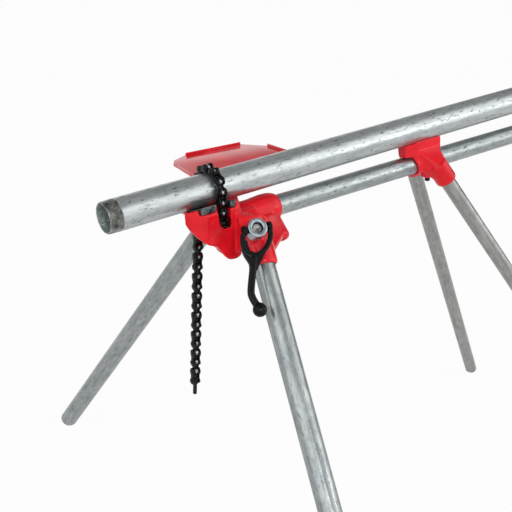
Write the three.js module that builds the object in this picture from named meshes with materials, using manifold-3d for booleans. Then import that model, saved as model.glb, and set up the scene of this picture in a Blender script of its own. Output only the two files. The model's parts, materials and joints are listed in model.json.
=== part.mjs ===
// Four-leg pipe stand with a chain vise: two castings joined by a back rail, four pipe legs,
// V jaws under a chain, and a clamp screw that tips a rocker to pull the chain tight.
// Millimetres, +Z up, the floor at Z = 0. Pieces are drawn in the rail frame, whose X axis is the
// rail's axis (rearwards), Y the far side and Z square to both, and which climbs towards the rear.
import * as THREE from "three";
import { ConvexGeometry } from "three/addons/geometries/ConvexGeometry.js";
import { mergeVertices } from "three/addons/utils/BufferGeometryUtils.js";
import Module from "manifold-3d";

const wasm = await Module();
wasm.setup();

// Driving dimensions of the stand
const RAIL_RISE = THREE.MathUtils.degToRad(6.64);
const RAIL_HEIGHT = 740;
const RAIL_HEIGHT_AT = 280;
const RAIL = { od: 42.2, wall: 3.56, front: 296, rear: 1140 };
const WORK = { od: 60.3, wall: 3.91, length: 1240, lift: 70.7, rise: THREE.MathUtils.degToRad(0.73) };
const FRONT_LEG = { od: 42.2, wall: 3.56, x: 274, side: 59.4, lean: -13.4, splay: 38.7, top: 38 };
const REAR_LEG = { od: 33.4, wall: 3.38, x: 783, side: 41.4, lean: 30.9, splay: 14.9, top: 17 };
const FOOT_FLAT = 2.5;
const SIDES = { pipe: 24, work: 32, socket: 24, shaft: 16, pin: 6 };

// Castings
const RAIL_SOCKET = { front: 270, rear: 370, radius: 29.5 };
const FRONT_SOCKET = { start: -12, end: 82, radius: 27.5 };
const REAR_SOCKET = { start: -6, end: 46, radius: 23.5 };
const REAR_BODY = { front: 743, rear: 814, radius: 28.5 };
const SADDLE = { front: 712, rear: 816, clearance: 0.5 };
const LUG = { x: 350, radius: 14.8, length: 73, tilt: THREE.MathUtils.degToRad(46) };
const NEAR_WALL = -48;

// Jaws
const V_SLOPE = Math.tan(THREE.MathUtils.degToRad(20));
const SEAT_V = 38.5;
const JAW = { thickness: 13.6, halfWidth: 49, gap: 0.4 };
const FRONT_JAW = { front: 170, rear: 202 };
const REAR_JAW = { front: 233, rear: 245 };
const JAW_SCREW = { side: 36, headRadius: 4.6, headLength: 5, shankRadius: 3, length: 19 };

// Chain
const CHAIN_X = 222;
const PITCH = 21;
const LINK = { height: 16, waist: 11, innerWidth: 10.8, plateGap: 11.6, plate: 2.6, pin: 3.7, pinLength: 20 };
const CHAIN_GAP = 0.4;
const NEAR_LINKS = 3;
const ARCH_LINKS = 5;
const FAR_LINKS = 3;
const TAIL_LINKS = 18;
const ARCH_START = THREE.MathUtils.degToRad(180);
const NEAR_RUN_DRIFT = 1.5;
const FAR_RUN_TURN = 0.34;
const TIP = { length: 32, width: 7 };
const HOOK = { thickness: 5, slot: 17.8, root: 34, end: 53, front: 202, rear: 242, gap: 0.5 };

// Clamp screw, sleeve and handle
const SCREW_END = new THREE.Vector3(246.1, -115.3, 21.3);
const SCREW_AZIMUTH = THREE.MathUtils.degToRad(15);
const SCREW_ELEVATION = THREE.MathUtils.degToRad(38.5);
const FORK_SKEW = THREE.MathUtils.degToRad(14);
const HANDLE_TILT = THREE.MathUtils.degToRad(5);
const SLEEVE = { radius: 18.5, length: 26, bore: 10.3, trunnion: 9 };
const SCREW = { radius: 9.8, recess: 7, reach: 86 };
const PAD = { radius: 9.5, thickness: 6 };
const BOSS = { radius: 18.5, depth: 44, gap: 2.5 };
const YOKE = { inside: 20.4, outside: 28, eye: 9.5, pin: 4.5, thickness: 10, arm: 9.5, stem: 13, ball: 13.4 };
const ROCKER = { y: -19, z: -2, shaft: 7, front: 204, rear: 289, armWidth: 10.4 };

// Tool tray
const TRAY = { sheet: 2.5, base: 57.7, lip: 5 };
const TRAY_OUTLINE = [[244, 51], [262, 190], [268, 216], [284, 240], [322, 256], [454, 240], [491, 184], [491, 51]];
const TRAY_LIPS = [0, 4, 6];
const TRAY_BOLTS = [[272, 58], [293, 58]];

// Set screws
const SET_SCREW = { radius: 5, square: 9, head: 9, tipGap: 0.5 };
const SET_SCREW_LENGTH = { leg: 15, rearRail: 18.5, headRail: 40 };

const FINISH = {
  enamel: { color: 0xd81e2c, roughness: 0.25, metalness: 0 },
  galvanised: { color: 0xa9adaf, roughness: 0.45, metalness: 0.9 },
  blackSteel: { color: 0x1c1c1e, roughness: 0.45, metalness: 0.7 },
  zinc: { color: 0xc9ced6, roughness: 0.3, metalness: 1 },
  blackIron: { color: 0x17181a, roughness: 0.4, metalness: 0.3 },
};

const X = new THREE.Vector3(1, 0, 0);
const Y = new THREE.Vector3(0, 1, 0);
const Z = new THREE.Vector3(0, 0, 1);
const DOWN = new THREE.Vector3(-Math.sin(RAIL_RISE), 0, -Math.cos(RAIL_RISE));
const v3 = (x, y, z) => new THREE.Vector3(x, y, z);

// Solids and geometry

function toSolid(geometry) {
  const bare = geometry.index ? geometry.toNonIndexed() : geometry.clone();
  bare.deleteAttribute("normal");
  bare.deleteAttribute("uv");
  const merged = mergeVertices(bare, 1e-4);
  return new wasm.Manifold(
    new wasm.Mesh({
      numProp: 3,
      vertProperties: merged.attributes.position.array,
      triVerts: new Uint32Array(merged.index.array),
    }),
  );
}

function toGeometry(solid) {
  const mesh = solid.getMesh();
  const geometry = new THREE.BufferGeometry();
  geometry.setAttribute("position", new THREE.BufferAttribute(mesh.vertProperties, 3));
  geometry.setIndex(new THREE.BufferAttribute(mesh.triVerts, 1));
  return geometry;
}

const join = (geometries) => geometries.map(toSolid).reduce((whole, piece) => whole.add(piece));

const cut = (solid, geometries) => geometries.map(toSolid).reduce((left, piece) => left.subtract(piece), solid);

// Radius of a faceted hole whose flats stay clear of a round piece
const holeRadius = (radius, clearance, sides) => (radius + clearance) / Math.cos(Math.PI / sides);

// Turned piece along +Z from [radius, height] pairs
function turned(profile, sides) {
  const points = profile.map(([radius, height]) => new THREE.Vector2(radius, height));
  return new THREE.LatheGeometry(points, sides).rotateX(Math.PI / 2);
}

const rod = (radius, length, sides) => turned([[0, 0], [radius, 0], [radius, length], [0, length]], sides);

function tube(od, wall, length, sides) {
  const outer = od / 2;
  const inner = outer - wall;
  return turned([[inner, 0], [outer, 0], [outer, length], [inner, length], [inner, 0]], sides);
}

// Turns a piece drawn along +Z to a direction, with its foot at a point
function aimed(geometry, from, direction) {
  const turn = new THREE.Quaternion().setFromUnitVectors(Z, direction.clone().normalize());
  return geometry.applyQuaternion(turn).translate(from.x, from.y, from.z);
}

const rodFromTo = (from, to, radius, sides) =>
  aimed(rod(radius, from.distanceTo(to), sides), from, to.clone().sub(from));

const outline = (points) => new THREE.Shape(points.map(([a, b]) => new THREE.Vector2(a, b)));

function extruded(points, depth) {
  return new THREE.ExtrudeGeometry(outline(points), { depth, bevelEnabled: false, curveSegments: 8 });
}

// Outline in Y and Z, extruded along X
function alongX(points, from, to) {
  const basis = new THREE.Matrix4().makeBasis(Y, Z, X);
  return extruded(points, to - from).applyMatrix4(basis).translate(from, 0, 0);
}

// Outline in X and Z, extruded along Y
function alongY(points, from, to) {
  const basis = new THREE.Matrix4().makeBasis(X, Z, Y.clone().negate());
  return extruded(points, to - from).applyMatrix4(basis).translate(0, to, 0);
}

// Outline in X and Y, extruded along Z
const alongZ = (points, from, to) => extruded(points, to - from).translate(0, 0, from);

function box(x0, x1, y0, y1, z0, z1) {
  return new THREE.BoxGeometry(x1 - x0, y1 - y0, z1 - z0).translate((x0 + x1) / 2, (y0 + y1) / 2, (z0 + z1) / 2);
}

// Points round a circle square to a direction
function ring(at, direction, radius) {
  const turn = new THREE.Quaternion().setFromUnitVectors(Z, direction.clone().normalize());
  return Array.from({ length: 12 }, (_, k) => {
    const angle = (Math.PI * k) / 6;
    return v3(radius * Math.cos(angle), radius * Math.sin(angle), 0).applyQuaternion(turn).add(at);
  });
}

// Web of metal stretched over rings and points
const web = (...points) => new ConvexGeometry(points.flat());

// Scene graph

const stand = new THREE.Group();
stand.rotation.y = -RAIL_RISE;
stand.position.z = RAIL_HEIGHT - RAIL_HEIGHT_AT * Math.sin(RAIL_RISE);

function add(name, shape, finish) {
  const geometry = shape.isBufferGeometry ? shape : toGeometry(shape);
  const mesh = new THREE.Mesh(geometry, new THREE.MeshStandardMaterial(FINISH[finish]));
  mesh.name = name;
  stand.add(mesh);
  return mesh;
}

// Height of the floor along a line in the rail frame
const floorDistance = (from, direction) => {
  const drop = stand.position.z + from.x * Math.sin(RAIL_RISE) + from.z * Math.cos(RAIL_RISE);
  return drop / direction.dot(DOWN);
};

// Work pipe axis

const workDirection = v3(Math.cos(WORK.rise), 0, Math.sin(WORK.rise));
const workHeight = (x) => WORK.lift + x * Math.tan(WORK.rise);
const workFront = v3(0, 0, WORK.lift);

// Legs

function legLine(leg, sign) {
  const lean = Math.tan(THREE.MathUtils.degToRad(leg.lean));
  const splay = Math.tan(THREE.MathUtils.degToRad(leg.splay));
  return { from: v3(leg.x, sign * leg.side, 0), direction: v3(lean, sign * splay, -1).normalize() };
}

const onLine = (line, distance) => line.from.clone().addScaledVector(line.direction, distance);

// Square-cut pipe leg whose lowest edge is ground flat on the floor
function legShape(leg, line) {
  const steep = line.direction.dot(DOWN);
  const drop = (leg.od / 2) * Math.sqrt(1 - steep * steep) - FOOT_FLAT;
  const end = floorDistance(line.from, line.direction) - drop / steep;
  const pipe = aimed(tube(leg.od, leg.wall, end - leg.top, SIDES.pipe), onLine(line, leg.top), line.direction);
  const ground = new THREE.BoxGeometry(400, 400, 100).translate(0, 0, -50);
  ground.applyMatrix4(new THREE.Matrix4().makeRotationY(RAIL_RISE));
  const foot = line.from.clone().addScaledVector(line.direction, floorDistance(line.from, line.direction));
  return cut(toSolid(pipe), [ground.translate(foot.x, foot.y, foot.z)]);
}

const LEG_LINES = {
  front_near: legLine(FRONT_LEG, -1),
  front_far: legLine(FRONT_LEG, 1),
  rear_near: legLine(REAR_LEG, -1),
  rear_far: legLine(REAR_LEG, 1),
};

// Socket with a rounded mouth
function socketOuter(socket, line) {
  const { start, end, radius } = socket;
  const profile = [[0, start], [radius, start], [radius, end - 6], [radius - 1.2, end - 1.8], [radius - 3, end], [0, end]];
  return aimed(turned(profile, SIDES.socket), line.from, line.direction);
}

function legBore(leg, socket, line) {
  const depth = socket.end - leg.top + 6;
  const bore = rod(holeRadius(leg.od / 2, 0.35, SIDES.pipe), depth, SIDES.pipe);
  return aimed(bore, onLine(line, leg.top - 0.5), line.direction);
}

// Set screws from a surface point towards a pipe: a square head, or a square drive sunk in the end

function setScrew({ seat, outward, length, sunk }) {
  const { radius, square, head } = SET_SCREW;
  if (sunk) {
    const drive = new THREE.BoxGeometry(5, 5, 8).translate(0, 0, length);
    return aimed(toGeometry(cut(toSolid(rod(radius, length, SIDES.shaft)), [drive])), seat, outward);
  }
  const shank = rod(radius, length + 1, SIDES.shaft);
  const cap = new THREE.BoxGeometry(square, square, head).translate(0, 0, length + head / 2);
  return aimed(toGeometry(join([shank, cap])), seat, outward);
}

function setScrewHole({ seat, outward }) {
  const hole = rod(holeRadius(SET_SCREW.radius, 0.3, SIDES.shaft), 60, SIDES.shaft);
  return aimed(hole, seat.clone().addScaledVector(outward, -3), outward);
}

// Leg screw on the inner side, swung towards the rear
function legScrew(leg, line, distance, swing) {
  const outward = new THREE.Vector3().crossVectors(line.direction, X).normalize();
  if (outward.z > 0) outward.negate();
  const rearward = X.clone().addScaledVector(line.direction, -X.dot(line.direction)).normalize();
  outward.addScaledVector(rearward, swing).normalize();
  const seat = onLine(line, distance).addScaledVector(outward, leg.od / 2 + SET_SCREW.tipGap);
  return { seat, outward, length: SET_SCREW_LENGTH.leg };
}

const lugOut = v3(0, -Math.sin(LUG.tilt), -Math.cos(LUG.tilt));
const SCREWS = {
  front_near_leg_set_screw: legScrew(FRONT_LEG, LEG_LINES.front_near, 64, 0.9),
  front_far_leg_set_screw: legScrew(FRONT_LEG, LEG_LINES.front_far, 64, 0.9),
  rear_near_leg_set_screw: legScrew(REAR_LEG, LEG_LINES.rear_near, 34, 1.3),
  rear_far_leg_set_screw: legScrew(REAR_LEG, LEG_LINES.rear_far, 34, 1.3),
  head_rail_set_screw: {
    seat: v3(LUG.x, 0, 0).addScaledVector(lugOut, RAIL.od / 2 + SET_SCREW.tipGap),
    outward: lugOut,
    length: SET_SCREW_LENGTH.headRail,
    sunk: true,
  },
  rear_rail_set_screw: {
    seat: v3(797, 0, -RAIL.od / 2 - SET_SCREW.tipGap),
    outward: Z.clone().negate(),
    length: SET_SCREW_LENGTH.rearRail,
  },
};

// Clamp screw axis

const screwAxis = v3(
  -Math.cos(SCREW_ELEVATION) * Math.sin(SCREW_AZIMUTH),
  -Math.cos(SCREW_ELEVATION) * Math.cos(SCREW_AZIMUTH),
  Math.sin(SCREW_ELEVATION),
);
const trunnionAxis = v3(Math.cos(SCREW_AZIMUTH), -Math.sin(SCREW_AZIMUTH), 0);
const onScrew = (depth) => SCREW_END.clone().addScaledVector(screwAxis, -depth);
const inwards = screwAxis.clone().negate();
const bossFace = onScrew(SLEEVE.length + BOSS.gap);

// Chain pins, from the rocker's arm over the pipe and down the tail

function chainPins() {
  const centre = workHeight(CHAIN_X);
  const radius = WORK.od / 2 + LINK.height / 2 + CHAIN_GAP;
  const step = 2 * Math.asin(PITCH / 2 / radius);
  const onArch = (k) => {
    const angle = ARCH_START - k * step;
    return v3(CHAIN_X, radius * Math.cos(angle), centre + radius * Math.sin(angle));
  };
  const arch = Array.from({ length: ARCH_LINKS + 1 }, (_, k) => onArch(k));
  const nearStep = v3(0, NEAR_RUN_DRIFT, -Math.sqrt(PITCH * PITCH - NEAR_RUN_DRIFT * NEAR_RUN_DRIFT));
  const near = Array.from({ length: NEAR_LINKS }, (_, k) =>
    arch[0].clone().addScaledVector(nearStep, NEAR_LINKS - k),
  );
  const leave = ARCH_START - (ARCH_LINKS + FAR_RUN_TURN) * step;
  const farStep = v3(0, Math.sin(leave), -Math.cos(leave)).multiplyScalar(PITCH);
  const far = Array.from({ length: FAR_LINKS }, (_, k) =>
    arch[ARCH_LINKS].clone().addScaledVector(farStep, k + 1),
  );
  const hook = far[FAR_LINKS - 1];
  const tail = Array.from({ length: TAIL_LINKS }, (_, k) => hook.clone().addScaledVector(DOWN, (k + 1) * PITCH));
  return [...near, ...arch, ...far, ...tail];
}

const PINS = chainPins();
const HOOK_PIN = NEAR_LINKS + ARCH_LINKS + FAR_LINKS;
const anchorPin = PINS[0];

// Side outline of a link along +X from one pin to the next, with a drawn-in waist
function linkOutline(length) {
  const half = LINK.height / 2;
  const end = [-55, 0, 55].map((d) => THREE.MathUtils.degToRad(d));
  const right = end.map((a) => [length + half * Math.cos(a), half * Math.sin(a)]);
  const left = end.map((a) => [-half * Math.cos(a), -half * Math.sin(a)]);
  return [[length / 2, -LINK.waist / 2], ...right, [length / 2, LINK.waist / 2], ...left];
}

// Frame of a link: its first pin, along to the second, pins along the across direction
function linkFrame(from, to) {
  const along = to.clone().sub(from).normalize();
  const across = X.clone().addScaledVector(along, -X.dot(along)).normalize();
  const up = new THREE.Vector3().crossVectors(across, along);
  return new THREE.Matrix4().makeBasis(along, up, across).setPosition(from);
}

const plateAt = (shape, from, to) => extruded(shape, to - from).translate(0, 0, from);

// Two plates riveted on two pins
function outerLink(from, to) {
  const shape = linkOutline(PITCH);
  const inside = LINK.plateGap / 2;
  const plates = [plateAt(shape, inside, inside + LINK.plate), plateAt(shape, -inside - LINK.plate, -inside)];
  const pins = [0, PITCH].map((x) => rod(LINK.pin, LINK.pinLength, SIDES.pin).translate(x, 0, -LINK.pinLength / 2));
  return toGeometry(join([...plates, ...pins])).applyMatrix4(linkFrame(from, to));
}

// Block of leaf plates between two outer links, with a hole for the next link's pin
function innerLink(from, to, shape = linkOutline(PITCH)) {
  const half = LINK.innerWidth / 2;
  return plateAt(shape, -half, half).applyMatrix4(linkFrame(from, to));
}

function pinHole(at, next) {
  const hole = rod(holeRadius(LINK.pin, 0.3, SIDES.pin), LINK.innerWidth + 2, SIDES.pin);
  return hole.translate(0, 0, -LINK.innerWidth / 2 - 1).applyMatrix4(linkFrame(at, next));
}

function chainPair(k) {
  const [first, middle, last] = PINS.slice(2 * k, 2 * k + 3);
  const ahead = PINS[2 * k + 3];
  return cut(join([outerLink(first, middle), innerLink(middle, last)]), [pinHole(last, ahead)]);
}

function chainTip() {
  const [last, end] = PINS.slice(-2);
  const { length, width } = TIP;
  const blade = [[-7, -5], [6, -5], [10, -width / 2], [length, -width / 2], [length, width / 2], [10, width / 2],
    [6, 5], [-7, 5]];
  const beyond = end.clone().addScaledVector(DOWN, PITCH);
  return join([outerLink(last, end), innerLink(end, beyond, blade)]);
}

// Vise head

const veeLine = (bottom, half) => [[-half, bottom + half * V_SLOPE], [0, bottom], [half, bottom + half * V_SLOPE]];

// Jaw seat: a slab under the V, with a sloped near shoulder and a deep near skirt that covers the rocker
function jawSeatBlock() {
  const plan = [[145, -20], [145, -31], [152, -39.5], [165, -45.5], [182, NEAR_WALL], [250, NEAR_WALL], [262, -42],
    [262, 42], [250, 48], [188, 48], [176, 45], [162, 34], [155, 14]];
  const top = [[262, 30], [258, 38], [253, 80], [140, 80]];
  const slab = [[158, 44], [170, 28], [185, 19], [205, 8], [262, -6], ...top];
  const skirt = [[145, 28], [152, 14.3], [166.5, -4.3], [181, -18.2], [198.5, -26], [206, -36], [212.5, -47.8],
    [220, -56.5], [229.5, -61], [240, -61.5], [250, -58], [262, -50], ...top];
  const [, bottom, far] = veeLine(SEAT_V, 54);
  const shoulder = [[-40, SEAT_V + 40 * V_SLOPE], [-54, 28]];
  const cross = [far, bottom, ...shoulder, [-54, -90], [54, -90]];
  return toSolid(alongZ(plan, -90, 80))
    .intersect(join([alongY(slab, -70, 70), alongY(skirt, -70, -27.3), box(198, 254, -34, -7, -12.5, 12.5)]))
    .intersect(toSolid(alongX(cross, 120, 300)));
}

function jawPocket(jaw) {
  const bottom = SEAT_V + 2 - JAW.thickness - JAW.gap;
  const shape = [...veeLine(bottom, 60), [60, 90], [-60, 90]];
  return alongX(shape, jaw.front - JAW.gap, jaw.rear + JAW.gap);
}

const hookTop = PINS[HOOK_PIN].z - LINK.pin - HOOK.gap;

function chainHook() {
  const { front, rear, root, end, thickness } = HOOK;
  const plan = [[front, root], [rear, root], [rear, end - 6], [rear - 6, end], [front + 6, end], [front, end - 6]];
  return alongZ(plan, hookTop - thickness, hookTop);
}

// Openings for the chain: a slot in the near wall that narrows downwards, a gap through the far wall and hook
function chainSlots() {
  const near = [[204.5, 70], [208, 20], [214.5, 6], [233.2, 6], [233.6, 20], [234.2, 70]];
  const half = HOOK.slot / 2;
  const reach = (LINK.pinLength + 1.2) / 2;
  const inside = PINS[HOOK_PIN].y - LINK.height / 2 - 0.6;
  return [
    alongY(near, -80, -28),
    box(CHAIN_X - half, CHAIN_X + half, inside, 90, -60, hookTop + 2),
    box(CHAIN_X - reach, CHAIN_X + reach, 27, 90, hookTop, 90),
    box(CHAIN_X - 21, CHAIN_X + reach, inside, 90, -60, hookTop - HOOK.thickness),
  ];
}

// Shoulders that carry the leg sockets, the screw boss and the lug
function headWebs() {
  const { front_near: near, front_far: far } = LEG_LINES;
  const r = FRONT_SOCKET.radius;
  const lug = (distance) => ring(v3(LUG.x, 0, 0).addScaledVector(lugOut, distance), lugOut, LUG.radius - 1);
  const boss = (depth) => ring(bossFace.clone().addScaledVector(inwards, depth), inwards, BOSS.radius);
  const middle = [[-66, -30], [-50, 6], [-26, 22], [26, 22], [50, 6], [66, -30], [40, -44], [-40, -44]];
  return [
    alongX(middle, 254, 302),
    web(
      boss(9), boss(40), ring(onLine(near, -8), near.direction, r - 3), ring(onLine(near, 46), near.direction, r - 2),
      [v3(244, NEAR_WALL + 1, 28), v3(240, NEAR_WALL + 1, -44), v3(262, -20, 26), v3(262, -20, -40)],
    ),
    web(lug(18), lug(58), ring(onLine(near, -4), near.direction, r - 5), ring(onLine(near, 60), near.direction, r - 2)),
    web(
      ring(onLine(far, -8), far.direction, r - 3), ring(onLine(far, 40), far.direction, r - 3),
      [v3(250, 44, 26), v3(250, 44, 2), v3(300, 18, 22), v3(300, 18, -22)],
    ),
  ];
}

function trayPad() {
  const top = TRAY.base - 0.3;
  return alongX([[18, -14], [40, -14], [68, 36], [68, top], [37, top], [37, 32], [26, 16]], 262, 304);
}

// Hollows under the jaw seat for the rocker, open below: one for the chain's arm, one for the screw's
function rockerCavity() {
  const shape = [[-62, -90], [-8, -90], [-8, 13], [-46, 6], [-62, -14]];
  return [box(211, 240, NEAR_WALL + 4.4, -8, -90, 22), alongX(shape, 252.5, 286)];
}

function screwCuts() {
  const bore = rod(holeRadius(SCREW.radius, 0.35, SIDES.socket), 60, SIDES.socket);
  return aimed(bore, onScrew(SLEEVE.length - 4), inwards);
}

const jawTop = (jaw) => {
  const lowest = workHeight(jaw.front) - (WORK.od / 2) / Math.cos(Math.atan(V_SLOPE));
  return lowest - JAW.gap;
};

function jawScrewSeats(jaw) {
  const middle = (jaw.front + jaw.rear) / 2;
  const slope = Math.atan(V_SLOPE);
  return [-1, 1].map((sign) => ({
    seat: v3(middle, sign * JAW_SCREW.side, jawTop(jaw) + JAW_SCREW.side * V_SLOPE),
    inward: v3(0, sign * Math.sin(slope), -Math.cos(slope)),
  }));
}

function jawScrew({ seat, inward }, grow, lift) {
  const { headRadius, headLength, shankRadius, length } = JAW_SCREW;
  const profile = [[0, -lift], [headRadius + grow, -lift], [headRadius + grow, headLength + grow],
    [shankRadius + grow, headLength + grow], [shankRadius + grow, length + grow], [0, length + grow]];
  return aimed(turned(profile, 12), seat.clone().addScaledVector(inward, 0.6), inward);
}

function railBore(from, length) {
  return aimed(rod(holeRadius(RAIL.od / 2, 0.35, SIDES.pipe), length, SIDES.pipe), v3(from, 0, 0), X);
}

function viseHead() {
  const { front, rear, radius } = RAIL_SOCKET;
  const railSocket = [[0, front], [radius - 1.5, front], [radius - 1, rear - 62], [radius + 1.5, rear - 32],
    [radius + 1, rear - 17], [radius - 1.5, rear - 6], [radius - 4.5, rear], [0, rear]];
  const lug = [[0, 0], [LUG.radius, 0], [LUG.radius, LUG.length - 6], [LUG.radius - 4, LUG.length], [0, LUG.length]];
  const masses = join([
    aimed(turned(railSocket, SIDES.socket), v3(0, 0, 0), X),
    socketOuter(FRONT_SOCKET, LEG_LINES.front_near),
    socketOuter(FRONT_SOCKET, LEG_LINES.front_far),
    aimed(rod(BOSS.radius, BOSS.depth, SIDES.socket), bossFace, inwards),
    aimed(turned(lug, SIDES.shaft), v3(LUG.x, 0, 0), lugOut),
    ...headWebs(),
    trayPad(),
    chainHook(),
  ]).add(jawSeatBlock());
  const rocker = rodFromTo(
    v3(ROCKER.front - 10, ROCKER.y, ROCKER.z),
    v3(ROCKER.rear + 0.5, ROCKER.y, ROCKER.z),
    holeRadius(ROCKER.shaft, 0.3, SIDES.shaft),
    SIDES.shaft,
  );
  const workClear = aimed(rod(WORK.od / 2 + 1.5, 400, SIDES.work), workFront, workDirection);
  const screws = ["front_near_leg_set_screw", "front_far_leg_set_screw", "head_rail_set_screw"];
  const bolts = TRAY_BOLTS.map(([x, y]) => rod(holeRadius(3, 0.3, 12), 22, 12).translate(x, y, TRAY.base - 20));
  return cut(masses, [
    jawPocket(FRONT_JAW),
    jawPocket(REAR_JAW),
    ...chainSlots(),
    ...rockerCavity(),
    rocker,
    screwCuts(),
    workClear,
    railBore(RAIL.front - 0.5, 120),
    legBore(FRONT_LEG, FRONT_SOCKET, LEG_LINES.front_near),
    legBore(FRONT_LEG, FRONT_SOCKET, LEG_LINES.front_far),
    ...screws.map((name) => setScrewHole(SCREWS[name])),
    ...bolts,
    ...[FRONT_JAW, REAR_JAW].flatMap(jawScrewSeats).map((seat) => jawScrew(seat, 0.3, 0)),
  ]);
}

// Jaws: bent V bars across the head
function jawShape(jaw) {
  const top = jawTop(jaw);
  const upper = veeLine(top, JAW.halfWidth);
  const lower = veeLine(SEAT_V + 2 - JAW.thickness, JAW.halfWidth).reverse();
  const bar = toSolid(alongX([...lower.reverse(), ...upper.reverse()], jaw.front, jaw.rear));
  return cut(bar, jawScrewSeats(jaw).map((seat) => jawScrew(seat, 0.3, 6)));
}

// Rear support
function rearSupport() {
  const lines = [LEG_LINES.rear_near, LEG_LINES.rear_far];
  const plan = (z, corners) => corners.flatMap(([x, y]) => [v3(x, y, z), v3(x, -y, z)]);
  const saddle = web(
    plan(70, [[SADDLE.front, 12], [741, 21], [SADDLE.rear, 20]]),
    plan(23, [[716, 10], [742, 22], [813, 22]]),
  );
  const neck = web(plan(36, [[739, 20], [SADDLE.rear, 20]]), plan(-8, [[752, 27], [808, 27]]));
  const shoulder = (line) => {
    const side = Math.sign(line.from.y);
    const foot = [v3(747, side * 20, 37), v3(807, side * 19, 37), v3(752, side * 25, -8), v3(770, side * 21, -20)];
    const r = REAR_SOCKET.radius;
    return web(ring(onLine(line, -4), line.direction, r - 2), ring(onLine(line, 30), line.direction, r - 1.5), foot);
  };
  const crotch = [[-44, -22], [-26, 14], [26, 14], [44, -22], [26, -30], [-26, -30]];
  const body = join([
    web(
      ring(v3(REAR_BODY.front, 0, 0), v3(1, 0, 0.3).normalize(), REAR_BODY.radius),
      ring(v3(REAR_BODY.rear, 0, 0), X, REAR_BODY.radius),
    ),
    saddle,
    neck,
    alongX(crotch, 766, 808),
    aimed(rod(11, 36, SIDES.shaft), v3(797, 0, 0), Z.clone().negate()),
    ...lines.map((line) => socketOuter(REAR_SOCKET, line)),
    ...lines.map(shoulder),
  ]);
  const pipeSeat = aimed(
    rod(holeRadius(WORK.od / 2, SADDLE.clearance, SIDES.work), WORK.length, SIDES.work),
    workFront,
    workDirection,
  );
  const above = box(SADDLE.front - 5, SADDLE.rear + 5, -60, 60, workHeight(SADDLE.front) - 8, 140);
  const screws = ["rear_near_leg_set_screw", "rear_far_leg_set_screw", "rear_rail_set_screw"];
  return cut(body, [
    pipeSeat,
    above,
    railBore(REAR_BODY.front - 60, 200),
    ...lines.map((line) => legBore(REAR_LEG, REAR_SOCKET, line)),
    ...screws.map((name) => setScrewHole(SCREWS[name])),
  ]);
}

// Rocker: cross shaft, chain arm and screw arm
function chainRocker() {
  const hub = v3(0, ROCKER.y, ROCKER.z);
  const shaft = rodFromTo(v3(ROCKER.front, hub.y, hub.z), v3(ROCKER.rear, hub.y, hub.z), ROCKER.shaft, SIDES.shaft);
  const half = ROCKER.armWidth / 2;
  const chainArm = rodFromTo(
    v3(CHAIN_X - half, anchorPin.y, anchorPin.z), v3(CHAIN_X + half, anchorPin.y, anchorPin.z), 7.2, SIDES.shaft);
  const reach = alongX(
    [[anchorPin.y, anchorPin.z - 6], [hub.y, hub.z - 6.5], [hub.y, hub.z + 6.5], [anchorPin.y, anchorPin.z + 6]],
    CHAIN_X - half, CHAIN_X + half);
  const face = onScrew(SCREW.reach + PAD.thickness + 0.9);
  const pushArm = aimed(rod(10.5, 9, SIDES.shaft), face, inwards);
  const bearing = face.clone().addScaledVector(inwards, 8);
  const arm = rodFromTo(v3(bearing.x, hub.y + 4, hub.z - 2), bearing, 6, 12);
  const hole = rod(holeRadius(LINK.pin, 0.9, SIDES.pin), 40, SIDES.pin).translate(0, 0, -20);
  const eye = hole.applyMatrix4(linkFrame(anchorPin, PINS[1]));
  return cut(join([shaft, chainArm, reach, arm, pushArm]), [eye]);
}

// Clamp screw group
function screwSleeve() {
  const { radius, length, bore, trunnion } = SLEEVE;
  const chamfer = 1.5;
  const profile = [[bore, 0], [radius, 0], [radius, length - chamfer], [radius - chamfer, length],
    [bore + 1, length], [bore, length - 1], [bore, 0]];
  const body = toSolid(aimed(turned(profile, SIDES.socket), onScrew(length), screwAxis));
  const at = onScrew(trunnion);
  const cross = rod(holeRadius(YOKE.pin, 0.3, 12), 60, 12).translate(0, 0, -30);
  return cut(body, [aimed(cross, at, trunnionAxis)]);
}

function clampScrew() {
  const length = SCREW.reach - SCREW.recess;
  return aimed(rod(SCREW.radius, length, SIDES.socket), onScrew(SCREW.recess), inwards);
}

const screwPad = () => aimed(rod(PAD.radius, PAD.thickness, SIDES.shaft), onScrew(SCREW.reach + 0.4), inwards);

function yokePin(sign) {
  const at = onScrew(SLEEVE.trunnion);
  const from = at.clone().addScaledVector(trunnionAxis, sign * (SCREW.radius + 0.6));
  const to = at.clone().addScaledVector(trunnionAxis, sign * (YOKE.outside + 2));
  return rodFromTo(from, to, YOKE.pin, 12);
}

// Forked handle in its own plane: U along the trunnion axis, V down from the pins and leaning inwards
const handleDown = new THREE.Vector3().crossVectors(trunnionAxis, screwAxis).applyAxisAngle(trunnionAxis, HANDLE_TILT);
const handleNormal = new THREE.Vector3().crossVectors(trunnionAxis, handleDown);

function sweptBar(points, width, thickness, steps) {
  const curve = new THREE.CatmullRomCurve3(points.map(([u, v]) => v3(u, v, 0)));
  const w = width / 2;
  const t = thickness / 2;
  const section = outline([[-t, -w * 0.5], [-t * 0.5, -w], [t * 0.5, -w], [t, -w * 0.5], [t, w * 0.5], [t * 0.5, w],
    [-t * 0.5, w], [-t, w * 0.5]]);
  return new THREE.ExtrudeGeometry(section, { steps, extrudePath: curve, bevelEnabled: false });
}

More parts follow.
